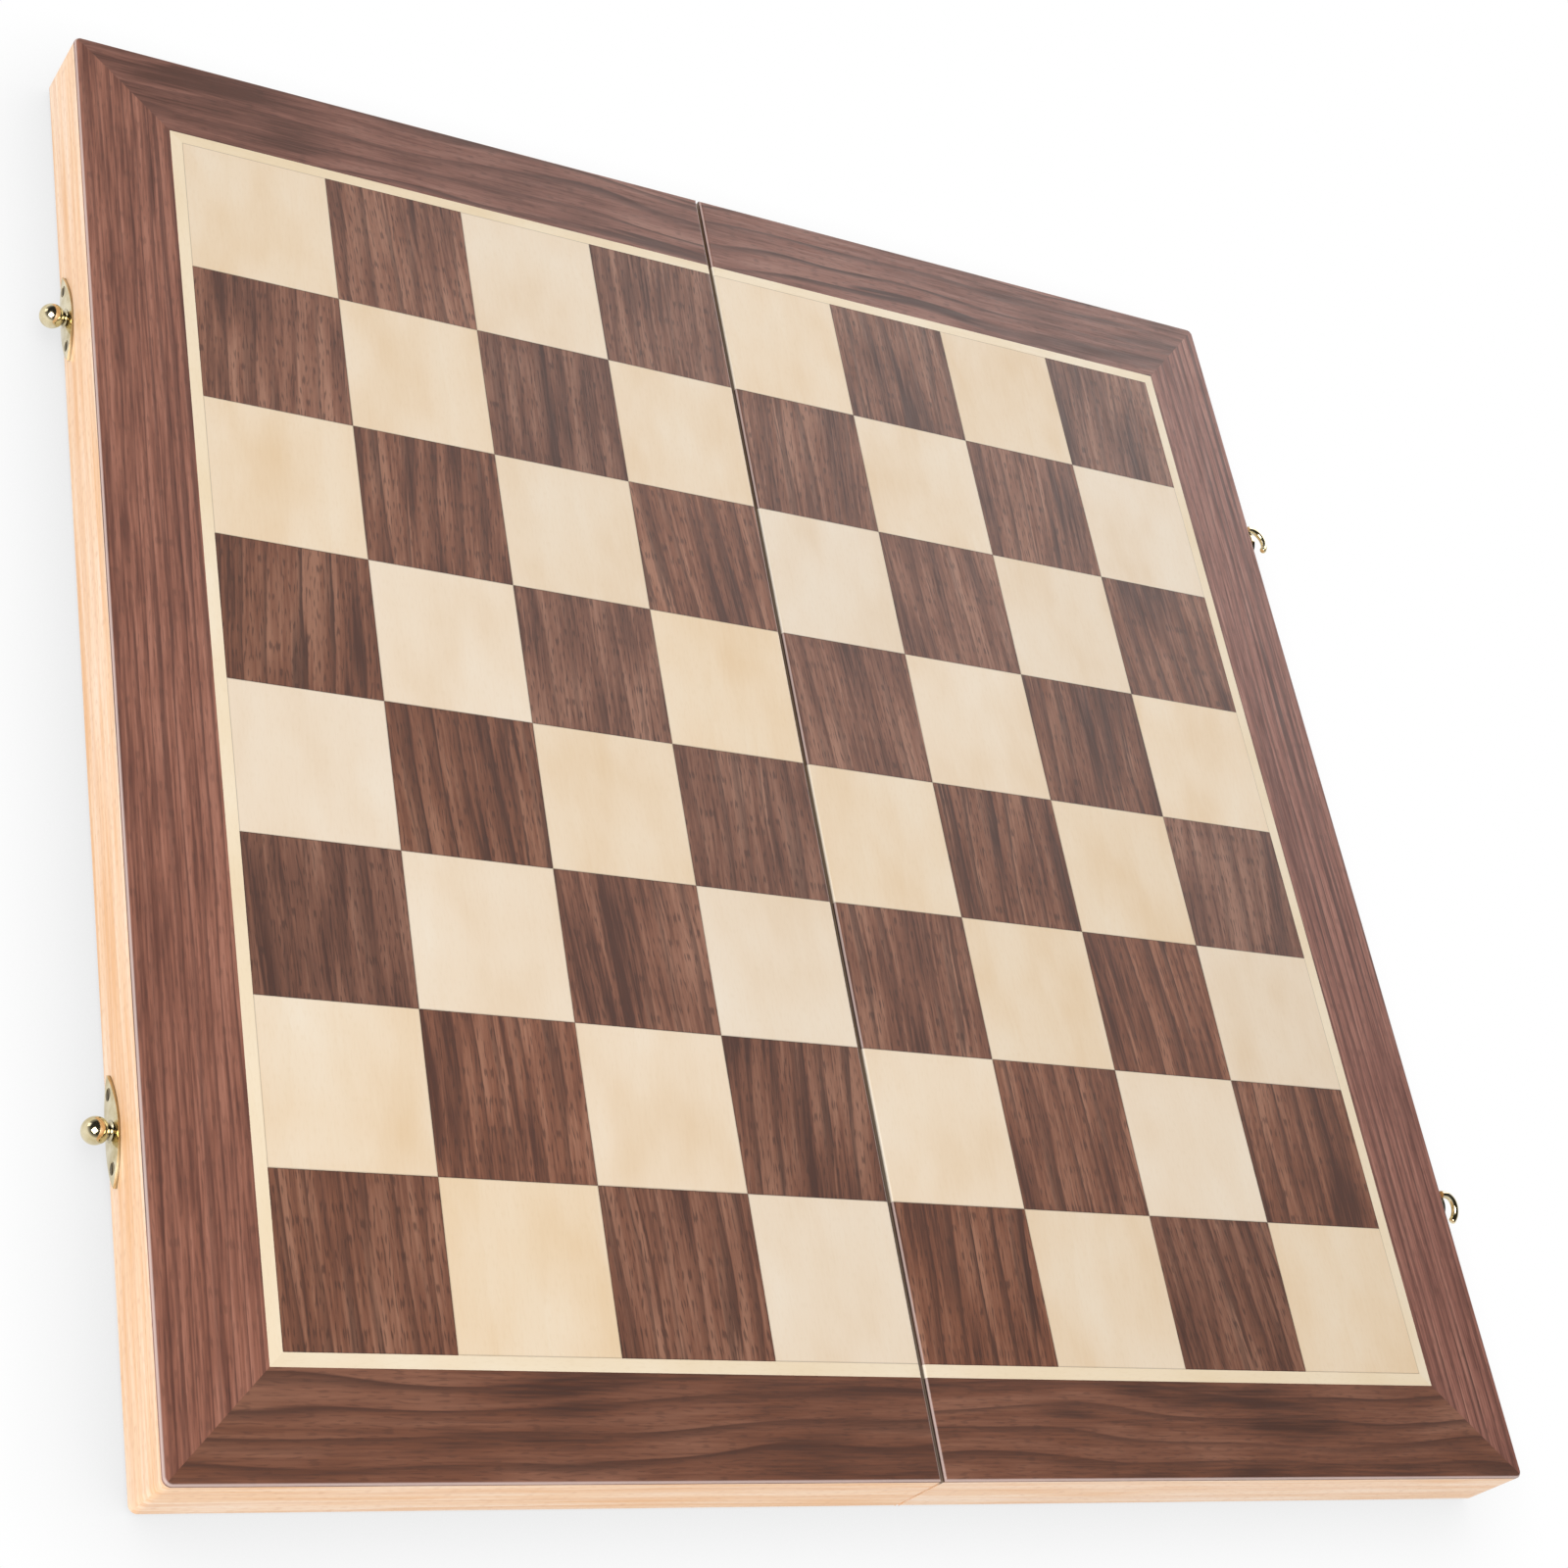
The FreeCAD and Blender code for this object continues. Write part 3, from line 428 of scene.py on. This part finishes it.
    def _colour(self, tree: NodeTree, cloud: NodeSocket, streak: NodeSocket, fine: NodeSocket, ring: NodeSocket,
                pore: NodeSocket) -> NodeSocket:
        """Lay clouds, streaks, growth rings and pores over each other.

        Args:
            tree: Node tree of the material.
            cloud: Broad patches.
            streak: Streaks of a few millimetres.
            fine: Fine streaks.
            ring: Dark lines of the growth rings.
            pore: Noise whose peaks become pores.

        Returns:
            Output with the colour.
        """
        tone = 0.0
        for layer, weight in zip((cloud, streak, fine), self.weights):
            tone = add_node(tree, "Math", {0: layer, 1: weight, 2: tone}, operation="MULTIPLY_ADD")
        reach = self.tone_reach / self.contrast
        colour = add_node(tree, "ValToRGB", {0: tone}, stops=[(MIDDLE - reach, self.dark), (MIDDLE, self.body),
                                                              (MIDDLE + reach, self.light)])
        marks = add_node(tree, "Math", {0: ring, 1: self.ring_weight}, operation="MULTIPLY")
        holes = remap(tree, pore, self.pore_span, (0.0, self.pore_weight))
        for share, code in ((marks, self.ring), (holes, self.pore)):
            colour = add_node(tree, "Mix", {MIX_FACTOR: share, MIX_FIRST: colour, MIX_SECOND: linear(code)},
                              out=MIX_RESULT, data_type="RGBA")
        return colour

    def _painted_edge_highlight(self, tree: NodeTree, colour: NodeSocket) -> NodeSocket:
        """Paint a highlight on the rounded edges: paler colour where a face tilts up and the lacquer catches light.

        Args:
            tree: Node tree of the material.
            colour: Colour of the wood.

        Returns:
            Output with the colour.
        """
        facing = add_node(tree, "NewGeometry", out="Normal")
        rise = add_node(tree, "SeparateXYZ", {0: facing}, out="Z")
        above = remap(tree, rise, self.edge_light.rise_from)
        below = remap(tree, rise, self.edge_light.rise_to, (self.edge_light.weight, 0.0))
        share = add_node(tree, "Math", {0: above, 1: below}, operation="MULTIPLY")
        return add_node(tree, "Mix", {MIX_FACTOR: share, MIX_FIRST: colour, MIX_SECOND: linear(self.edge_highlight)},
                        out=MIX_RESULT, data_type="RGBA")

    def _glue_lines_and_painted_seam_shade(self, tree: NodeTree, millimetres: NodeSocket, joint: NodeSocket | None) -> NodeSocket:
        """Darken the glue lines round the squares and paint shade on the upper edge of the faces in the seam gap.

        Args:
            tree: Node tree of the material.
            millimetres: Place on the part.
            joint: Distance to the edge of the square in millimetres, or none.

        Returns:
            Output with the share of colour left by the glue lines and the painted seam shade.
        """
        axes = add_node(tree, "SeparateXYZ", {0: millimetres}).node.outputs
        from_seam = add_node(tree, "Math", {0: axes["X"]}, operation="ABSOLUTE")
        skin = tuple(SEAM_FACE_MM + depth for depth in self.edge_light.seam_shade_depth_mm)
        near = remap(tree, from_seam, skin, (1 - self.edge_light.seam_light, 0.0))
        band = tuple(RAIL_TOP_MM - drop for drop in self.edge_light.seam_shade_drop_mm)
        high = remap(tree, axes["Z"], band)
        # Painted shade on the top of the seam faces, standing in for the shade in the narrow gap
        seam_shade = add_node(tree, "Math", {0: near, 1: high}, operation="MULTIPLY")
        shade = add_node(tree, "Math", {0: 1.0, 1: seam_shade}, operation="SUBTRACT")
        if joint is None:
            return shade
        glue = remap(tree, joint, self.edge_light.glue_mm, (self.edge_light.glue_light, 1.0))
        return add_node(tree, "Math", {0: shade, 1: glue}, operation="MULTIPLY")

    def _tint(self, tree: NodeTree, colour: NodeSocket, chance: NodeSocket, shade: NodeSocket) -> NodeSocket:
        """Make each piece a little lighter or redder than its neighbours and apply the darkening factor.

        Args:
            tree: Node tree of the material.
            colour: Colour of the wood.
            chance: Random numbers of the piece or square.
            shade: Darkening from the glue lines and the painted seam shade.

        Returns:
            Output with the colour.
        """
        picks = add_node(tree, "SeparateXYZ", {0: chance}).node.outputs
        value = remap(tree, picks["X"], UNIT, (1 - self.tile_value, 1 + self.tile_value))
        vivid = remap(tree, picks["Y"], UNIT, (1 - self.tile_saturation, 1 + self.tile_saturation))
        value = add_node(tree, "Math", {0: value, 1: shade}, operation="MULTIPLY")
        return add_node(tree, "HueSaturation", {"Color": colour, "Value": value, "Saturation": vivid})


# Sliced walnut veneer under satin lacquer: warm brown with dark growth lines and many fine pores
WALNUT = WoodFinish("walnut_veneer_sliced", dark="#4F2E22", body="#7C4F3B", light="#9A6D57", ring="#42261C",
                    pore="#472C22", cloud_mm=(18.0, 60.0), streak_mm=(3.0, 90.0), fine_mm=(0.7, 18.0),
                    pore_mm=(0.45, 3.5), weights=(0.42, 0.38, 0.2), ring_mm=7.0, wander_mm=5.0,
                    wander_length_mm=90.0, contrast=1.55, ring_weight=0.95, pore_weight=0.65, tilt=0.08,
                    tile_value=0.1, tile_saturation=0.05, roughness=0.46, depth_mm=0.03, edge_highlight="#D0B8B0")

# Quarter-sliced walnut of the left border: redder, with close straight stripes
WALNUT_STRIPED = replace(WALNUT, name="walnut_veneer_quartered", dark="#66392A", body="#8B5541", light="#A26A55",
                         ring="#4C261C", streak_mm=(2.2, 160.0), weights=(0.25, 0.4, 0.35), ring_mm=3.0,
                         wander_mm=1.5, wander_length_mm=130.0, ring_weight=1.6, pore_weight=0.3, tilt=0.0,
                         tile_value=0.03, tile_saturation=0.05)

# A greyer leaf of the same walnut for the right border: muted brown with fainter stripes
WALNUT_MUTED = replace(WALNUT_STRIPED, name="walnut_veneer_quartered_muted", dark="#673F35", body="#8B5C4F",
                       light="#A27263", ring="#4F2F27", contrast=1.35, ring_weight=1.0)

# Flat-sliced walnut of the front borders: dark brown with long wavy growth lines
WALNUT_FLAT = replace(WALNUT, name="walnut_veneer_flat", dark="#48291C", body="#714531", light="#885B46",
                      ring="#3A2017", cloud_mm=(24.0, 60.0), streak_mm=(5.0, 120.0), ring_mm=6.5, wander_mm=9.0,
                      wander_length_mm=110.0, contrast=1.35, ring_weight=1.0, pore_weight=0.35, tilt=0.0,
                      tile_value=0.03, tile_saturation=0.05)

# The same walnut with a painted sheen for the two back borders, paler where the back catches light: pinkish brown
# with softer lines
WALNUT_PAINTED_SHEEN = replace(WALNUT_FLAT, name="walnut_veneer_flat_painted_sheen", dark="#563428", body="#7F5447", light="#956B5D",
                      ring="#492B21")

# Maple veneer under satin lacquer: smooth cream with faint warm clouds and hardly any grain
MAPLE = WoodFinish("maple_veneer_sliced", dark="#DFC39F", body="#E7D2B7", light="#EBDCC7", ring="#D9BC93",
                   pore="#D5BB95", cloud_mm=(22.0, 40.0), streak_mm=(8.0, 40.0), fine_mm=(0.9, 8.0),
                   pore_mm=(0.5, 2.0), weights=(0.75, 0.15, 0.1), ring_mm=14.0, wander_mm=3.0,
                   wander_length_mm=60.0, contrast=0.6, ring_weight=0.08, pore_weight=0.1, tilt=0.05,
                   tile_value=0.02, tile_saturation=0.11, roughness=0.46, depth_mm=0.01, edge_highlight="#F3E8D6")

# Maple stringing cut from one long strip: a little paler and yellower than the squares
MAPLE_STRIP = replace(MAPLE, name="maple_stringing_sawn", dark="#E4CDA8", body="#EBD8BA", light="#EFE1C9", tilt=0.0,
                      tile_saturation=0.03)

# Planed beech under satin lacquer: pale pinkish cream with short flecks along the grain
BEECH = WoodFinish("beech_planed", dark="#EDB988", body="#F5CEA9", light="#FADDC2", ring="#E2AB7C",
                   pore="#D7A277", cloud_mm=(12.0, 120.0), streak_mm=(3.0, 140.0), fine_mm=(1.0, 30.0),
                   pore_mm=(0.45, 2.5), weights=(0.3, 0.45, 0.25), ring_mm=6.0, wander_mm=3.0,
                   wander_length_mm=160.0, contrast=1.5, ring_weight=0.5, pore_weight=0.35, tilt=0.0,
                   tile_value=0.02, tile_saturation=0.05, roughness=0.42, depth_mm=0.02, edge_highlight="#FBE6D2")

# Rotary-cut birch plywood, sanded and bare: pale yellow-brown with broad soft bands
PLYWOOD = WoodFinish("birch_plywood_sanded", dark="#C9A06C", body="#DDBC8D", light="#E8CFA6", ring="#B88C57",
                     pore="#BE955F", cloud_mm=(30.0, 90.0), streak_mm=(9.0, 90.0), fine_mm=(1.5, 25.0),
                     pore_mm=(0.4, 3.0), weights=(0.3, 0.45, 0.25), ring_mm=22.0, wander_mm=12.0,
                     wander_length_mm=90.0, contrast=1.0, ring_weight=0.35, pore_weight=0.3, tilt=0.0,
                     tile_value=0.03, tile_saturation=0.05, roughness=0.6, depth_mm=0.03, edge_highlight="#EAD6B4")


@dataclass(frozen=True)
class BrassFinish:
    """Brass with clouds of haze, hairline scratches and painted shade in the recesses and against other parts."""

    name: str = "brass_polished"
    bright: str = "#ECE0BF"
    deep: str = "#CCBB8F"
    recess_shade: str = "#3B2E1B"
    recess_shade_mm: float = 1.2
    cloud_mm: float = 3.0
    cloud_detail: float = 3.0
    hairline_mm: float = 0.25
    hairline_detail: float = 1.0
    hairline_relief: float = 0.05
    hairline_depth_mm: float = 0.01
    roughness: float = 0.12
    tone_span: tuple[float, float] = (0.3, 0.65)
    unshaded_span: tuple[float, float] = (0.35, 0.85)
    gloss_span: tuple[float, float] = (0.3, 0.7)
    gloss_spread: tuple[float, float] = (-0.05, 0.07)

    def material(self) -> Material:
        """Make the material.

        Returns:
            The finished material.
        """
        material, tree = new_material(self.name)
        place = add_node(tree, "TexCoord", out="Object")
        cloud = add_node(tree, "TexNoise", {"Vector": place, "Scale": 1 / (self.cloud_mm * MM),
                                            "Detail": self.cloud_detail})
        hair = add_node(tree, "TexNoise", {"Vector": place, "Scale": 1 / (self.hairline_mm * MM),
                                           "Detail": self.hairline_detail})
        tones = list(zip(self.tone_span, (self.deep, self.bright)))
        colour = add_node(tree, "ValToRGB", {0: cloud}, stops=tones)
        # Painted shade: darker where few rays get out, in recesses and where the brass meets the wood
        open_share = add_node(tree, "AmbientOcclusion", {"Distance": self.recess_shade_mm * MM}, out="AO",
                              samples=OPENNESS_RAYS)
        unshaded = remap(tree, open_share, self.unshaded_span)
        colour = add_node(tree, "Mix", {MIX_FACTOR: unshaded, MIX_FIRST: linear(self.recess_shade), MIX_SECOND: colour},
                          out=MIX_RESULT, data_type="RGBA")
        shiny, dull = (self.roughness + change for change in self.gloss_spread)
        rough = remap(tree, cloud, self.gloss_span, (shiny, dull))
        bump = add_node(tree, "Bump", {"Strength": self.hairline_relief, "Distance": self.hairline_depth_mm * MM,
                                       "Height": hair})
        surface = add_node(tree, "BsdfPrincipled", {"Base Color": colour, "Metallic": 1.0, "Roughness": rough,
                                                    "Normal": bump})
        add_node(tree, "OutputMaterial", {"Surface": surface})
        return material


# Polished brass: pale gold mirror with a little haze
BRASS = BrassFinish()

# Brass screws, turned and left to tarnish: dark olive brown and duller than the plates
BRASS_SCREW = replace(BRASS, name="brass_turned_tarnished", bright="#8C7A52", deep="#54452B", roughness=0.3)


@dataclass(frozen=True)
class FeltFinish:
    """Pressed wool felt: matt, with a fuzzy matted surface and uneven dye."""

    name: str = "wool_felt_pressed"
    dark: str = "#17402D"
    light: str = "#2E6348"
    fibre_mm: float = 0.6
    fibre_detail: float = 4.0
    fibre_twist: float = 1.5
    fibre_relief: float = 0.6
    fibre_depth_mm: float = 0.2
    cloud_mm: float = 9.0
    cloud_detail: float = 2.0
    cloud_weight: float = 0.4
    tone_span: tuple[float, float] = (0.5, 0.9)
    roughness: float = 0.95
    sheen_weight: float = 0.3
    sheen_roughness: float = 0.5

    def material(self) -> Material:
        """Make the material.

        Returns:
            The finished material.
        """
        material, tree = new_material(self.name)
        place = add_node(tree, "TexCoord", out="Object")
        fibre = add_node(tree, "TexNoise", {"Vector": place, "Scale": 1 / (self.fibre_mm * MM),
                                            "Detail": self.fibre_detail, "Distortion": self.fibre_twist})
        cloud = add_node(tree, "TexNoise", {"Vector": place, "Scale": 1 / (self.cloud_mm * MM),
                                            "Detail": self.cloud_detail})
        tone = add_node(tree, "Math", {0: cloud, 1: self.cloud_weight, 2: fibre}, operation="MULTIPLY_ADD")
        tones = list(zip(self.tone_span, (self.dark, self.light)))
        colour = add_node(tree, "ValToRGB", {0: tone}, stops=tones)
        bump = add_node(tree, "Bump", {"Strength": self.fibre_relief, "Distance": self.fibre_depth_mm * MM,
                                       "Height": fibre})
        surface = add_node(tree, "BsdfPrincipled", {"Base Color": colour, "Roughness": self.roughness,
                                                    "Normal": bump, "Sheen Weight": self.sheen_weight,
                                                    "Sheen Roughness": self.sheen_roughness})
        add_node(tree, "OutputMaterial", {"Surface": surface})
        return material


# Pressed green wool felt: deep matt green with a soft, slightly uneven nap
FELT = FeltFinish()


@dataclass
class PlayingSurface:
    """Inlaid top: squares, pale stringing and walnut border."""

    dark_wood: WoodFinish = WALNUT
    pale_wood: WoodFinish = MAPLE
    strip_wood: WoodFinish = MAPLE_STRIP
    left_wood: WoodFinish = WALNUT_STRIPED
    right_wood: WoodFinish = WALNUT_MUTED
    front_wood: WoodFinish = WALNUT_FLAT
    # Back borders wear the walnut with the painted sheen
    back_wood: WoodFinish = WALNUT_PAINTED_SHEEN
    squares_along_side: int = 8
    first_border_plank: int = 10

    def dress(self) -> None:
        """Give every square, strip and border its veneer."""
        low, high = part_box("left_walnut_squares")
        pitch = (high.y - low.y) / self.squares_along_side / MM
        grid = TileGrid(pitch, -high.x / MM)
        for plank, (species, wood) in enumerate((("walnut", self.dark_wood), ("maple", self.pale_wood))):
            material = wood.material("squares", Grain.ALONG_Y, plank, tiles=grid)
            for half in HALVES:
                dress(f"{half}_{species}_squares", material)
        outer_woods = {"left": self.left_wood, "right": self.right_wood}
        plank = self.first_border_plank
        for half in HALVES:
            woods = {"outer": outer_woods[half], "front": self.front_wood, "back": self.back_wood}
            for side, wood in woods.items():
                grain = Grain.ALONG_X if side in ENDS else Grain.ALONG_Y
                name = f"{half}_{side}"
                dress(f"{name}_border", wood.material(f"{name}_border", grain, plank))
                dress(f"{name}_stringing", self.strip_wood.material(f"{name}_stringing", grain, plank + 1))
                plank += 2


@dataclass
class TrayFrame:
    """Beech rails and plywood panel of both halves."""

    rail_wood: WoodFinish = BEECH
    panel_wood: WoodFinish = PLYWOOD
    first_plank: int = 40

    def dress(self) -> None:
        """Give every rail and panel its wood."""
        plank = self.first_plank
        for half in HALVES:
            for rail in ("outer", "hinge", *ENDS):
                grain = Grain.ALONG_X if rail in ENDS else Grain.ALONG_Y
                name = f"{half}_{rail}_rail"
                dress(name, self.rail_wood.material(name, grain, plank, upright=1.0))
                plank += 1
            name = f"{half}_panel"
            dress(name, self.panel_wood.material(name, Grain.ALONG_Y, plank, upright=1.0))
            plank += 1


@dataclass
class FeltLining:
    """Sheet of felt glued to the underside of each panel."""

    finish: FeltFinish = FELT
    step_mm: float = 6.0
    swell_mm: float = 0.12
    swell_share: tuple[float, float] = (0.4, 1.0)
    glue_mm: float = 0.02
    seed: int = 4

    def build(self) -> None:
        """Make both linings in place of their plain solids."""
        material = self.finish.material()
        chance = random.Random(self.seed)
        for half in HALVES:
            piece = self._sheet(half, chance)
            piece.data.materials.append(material)
            node = f"{half}_felt_lining"
            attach(piece, f"{half}_half")
            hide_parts(node)
            LOG.info("%s stands for %s", piece.name, node)

    def _sheet(self, half: str, chance: random.Random) -> Object:
        """Make one lining: a thin cut sheet whose lower face swells a little between its edges.

        Args:
            half: Which half it lies in.
            chance: Source of the unevenness.

        Returns:
            The new object.
        """
        low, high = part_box(f"{half}_felt_lining")
        columns = round((high.x - low.x) / (self.step_mm * MM))
        rows = round((high.y - low.y) / (self.step_mm * MM))
        mesh = bmesh.new()
        layers = []
        for level in (high.z - self.glue_mm * MM, low.z + self.swell_mm * MM):
            layer = []
            for row in range(rows + 1):
                for column in range(columns + 1):
                    x = low.x + (high.x - low.x) * column / columns
                    y = low.y + (high.y - low.y) * row / rows
                    inside = 0 < row < rows and 0 < column < columns
                    drop = self.swell_mm * MM * chance.uniform(*self.swell_share) if inside and layers else 0.0
                    layer.append(mesh.verts.new((x, y, level - drop)))
            layers.append(layer)
        across = columns + 1
        for row in range(rows):
            for column in range(columns):
                corner = row * across + column
                quad = (corner, corner + 1, corner + across + 1, corner + across)
                mesh.faces.new([layers[0][index] for index in quad])
                mesh.faces.new([layers[1][index] for index in reversed(quad)])
        rim = ([column for column in range(columns)]
               + [row * across + columns for row in range(rows)]
               + [rows * across + column for column in range(columns, 0, -1)]
               + [row * across for row in range(rows, 0, -1)])
        for first, second in zip(rim, rim[1:] + rim[:1]):
            mesh.faces.new((layers[1][first], layers[1][second], layers[0][second], layers[0][first]))
        bmesh.ops.recalc_face_normals(mesh, faces=mesh.faces)
        data = bpy.data.meshes.new(f"{half}_felt_sheet")
        mesh.to_mesh(data)
        mesh.free()
        piece = bpy.data.objects.new(f"{half}_felt_sheet", data)
        bpy.context.scene.collection.objects.link(piece)
        return piece


@dataclass
class Hardware:
    """Brass hinges, knobs, hooks, plates and screws."""

    finish: BrassFinish = BRASS
    screw_finish: BrassFinish = BRASS_SCREW

    def dress(self) -> None:
        """Give every metal node its brass."""
        polished = self.finish.material()
        tarnished = self.screw_finish.material()
        for row in frame["record"]["subparts"]:
            if row["material_slot"] == "brass":
                dress(row["node"], tarnished if row["node"].endswith("screws") else polished)


@dataclass(frozen=True)
class Softbox:
    """A square lamp that faces the board."""

    name: str
    at_m: tuple[float, float, float]
    size_m: float
    watts: float

    def build(self) -> None:
        """Hang the lamp."""
        data = bpy.data.lights.new(self.name, "AREA")
        data.shape = "SQUARE"
        data.size = self.size_m
        data.energy = self.watts
        lamp = bpy.data.objects.new(self.name, data)
        lamp.location = self.at_m
        lamp.rotation_euler = (-Vector(self.at_m)).to_track_quat("-Z", "Y").to_euler()
        bpy.context.scene.collection.objects.link(lamp)


@dataclass
class Studio:
    """Pale floor, soft light and the camera at the photograph's angle."""

    camera_mm: tuple[float, float, float] = (-409.75, -346.07, 555.96)
    camera_degrees: tuple[float, float, float] = (34.3055, -30.7154, -10.4267)
    lens_mm: float = 66.023
    shift: tuple[float, float] = (0.0332, -0.0484)
    floor_m: float = 8.0
    shade_reach_mm: float = 30.0
    shade_weight: float = 0.3
    sky: tuple[tuple[float, str], ...] = ((0.1, "#FFFFFF"), (0.3, "#A8A8A8"), (0.6, "#303030"))
    lamps: tuple[Softbox, ...] = (Softbox("key_softbox", (-0.9, -0.7, 1.5), 1.2, 36.0),
                                  Softbox("back_softbox", (1.25, 1.3, 0.78), 1.4, 16.0),
                                  Softbox("edge_softbox", (-1.5, 0.9, 0.6), 0.7, 2.2))

    def build(self) -> None:
        """Set up floor, sky, lamps and camera."""
        self._floor()
        self._sky()
        for lamp in self.lamps:
            lamp.build()
        self._camera()
        bpy.context.scene.view_settings.view_transform = "Standard"

    def _floor(self) -> None:
        """Lay a floor as white as the room, on which only the shade near the object shows."""
        half = self.floor_m / 2
        data = bpy.data.meshes.new("studio_floor")
        data.from_pydata([(-half, -half, 0), (half, -half, 0), (half, half, 0), (-half, half, 0)], [],
                         [(0, 1, 2, 3)])
        floor = bpy.data.objects.new("studio_floor", data)
        bpy.context.scene.collection.objects.link(floor)
        material, tree = new_material("paper_backdrop")
        near = add_node(tree, "AmbientOcclusion", {"Distance": self.shade_reach_mm * MM}, out="AO",
                        samples=OPENNESS_RAYS)
        shade = remap(tree, near, UNIT, (self.shade_weight, 0.0))
        clear = add_node(tree, "BsdfTransparent")
        black = add_node(tree, "BsdfDiffuse", {"Color": linear("#000000")})
        add_node(tree, "OutputMaterial", {"Surface": add_node(tree, "MixShader", {0: shade, 1: clear, 2: black})})
        data.materials.append(material)

    def _sky(self) -> None:
        """Light the room: white walls and ground, darker towards the ceiling."""
        world = bpy.data.worlds.new("studio_room")
        world.use_nodes = True
        bpy.context.scene.world = world
        tree = world.node_tree
        tree.nodes.clear()
        direction = add_node(tree, "TexCoord", out="Generated")
        height = add_node(tree, "SeparateXYZ", {0: direction}, out="Z")
        colour = add_node(tree, "ValToRGB", {0: height}, stops=list(self.sky))
        add_node(tree, "OutputWorld", {"Surface": add_node(tree, "Background", {"Color": colour})})

    def _camera(self) -> None:
        """Stand the camera where the photograph was taken from."""
        data = bpy.data.cameras.new("photo_camera")
        data.lens = self.lens_mm
        data.shift_x, data.shift_y = self.shift
        camera = bpy.data.objects.new("photo_camera", data)
        camera.location = Vector(self.camera_mm) * MM
        camera.rotation_euler = [math.radians(angle) for angle in self.camera_degrees]
        bpy.context.scene.collection.objects.link(camera)
        bpy.context.scene.camera = camera


def main() -> None:
    """Dress the board and set up the studio."""
    logging.basicConfig(level=logging.INFO, format="%(name)s: %(message)s")
    PlayingSurface().dress()
    TrayFrame().dress()
    FeltLining().build()
    Hardware().dress()
    Studio().build()


if __name__ == "__main__":
    main()
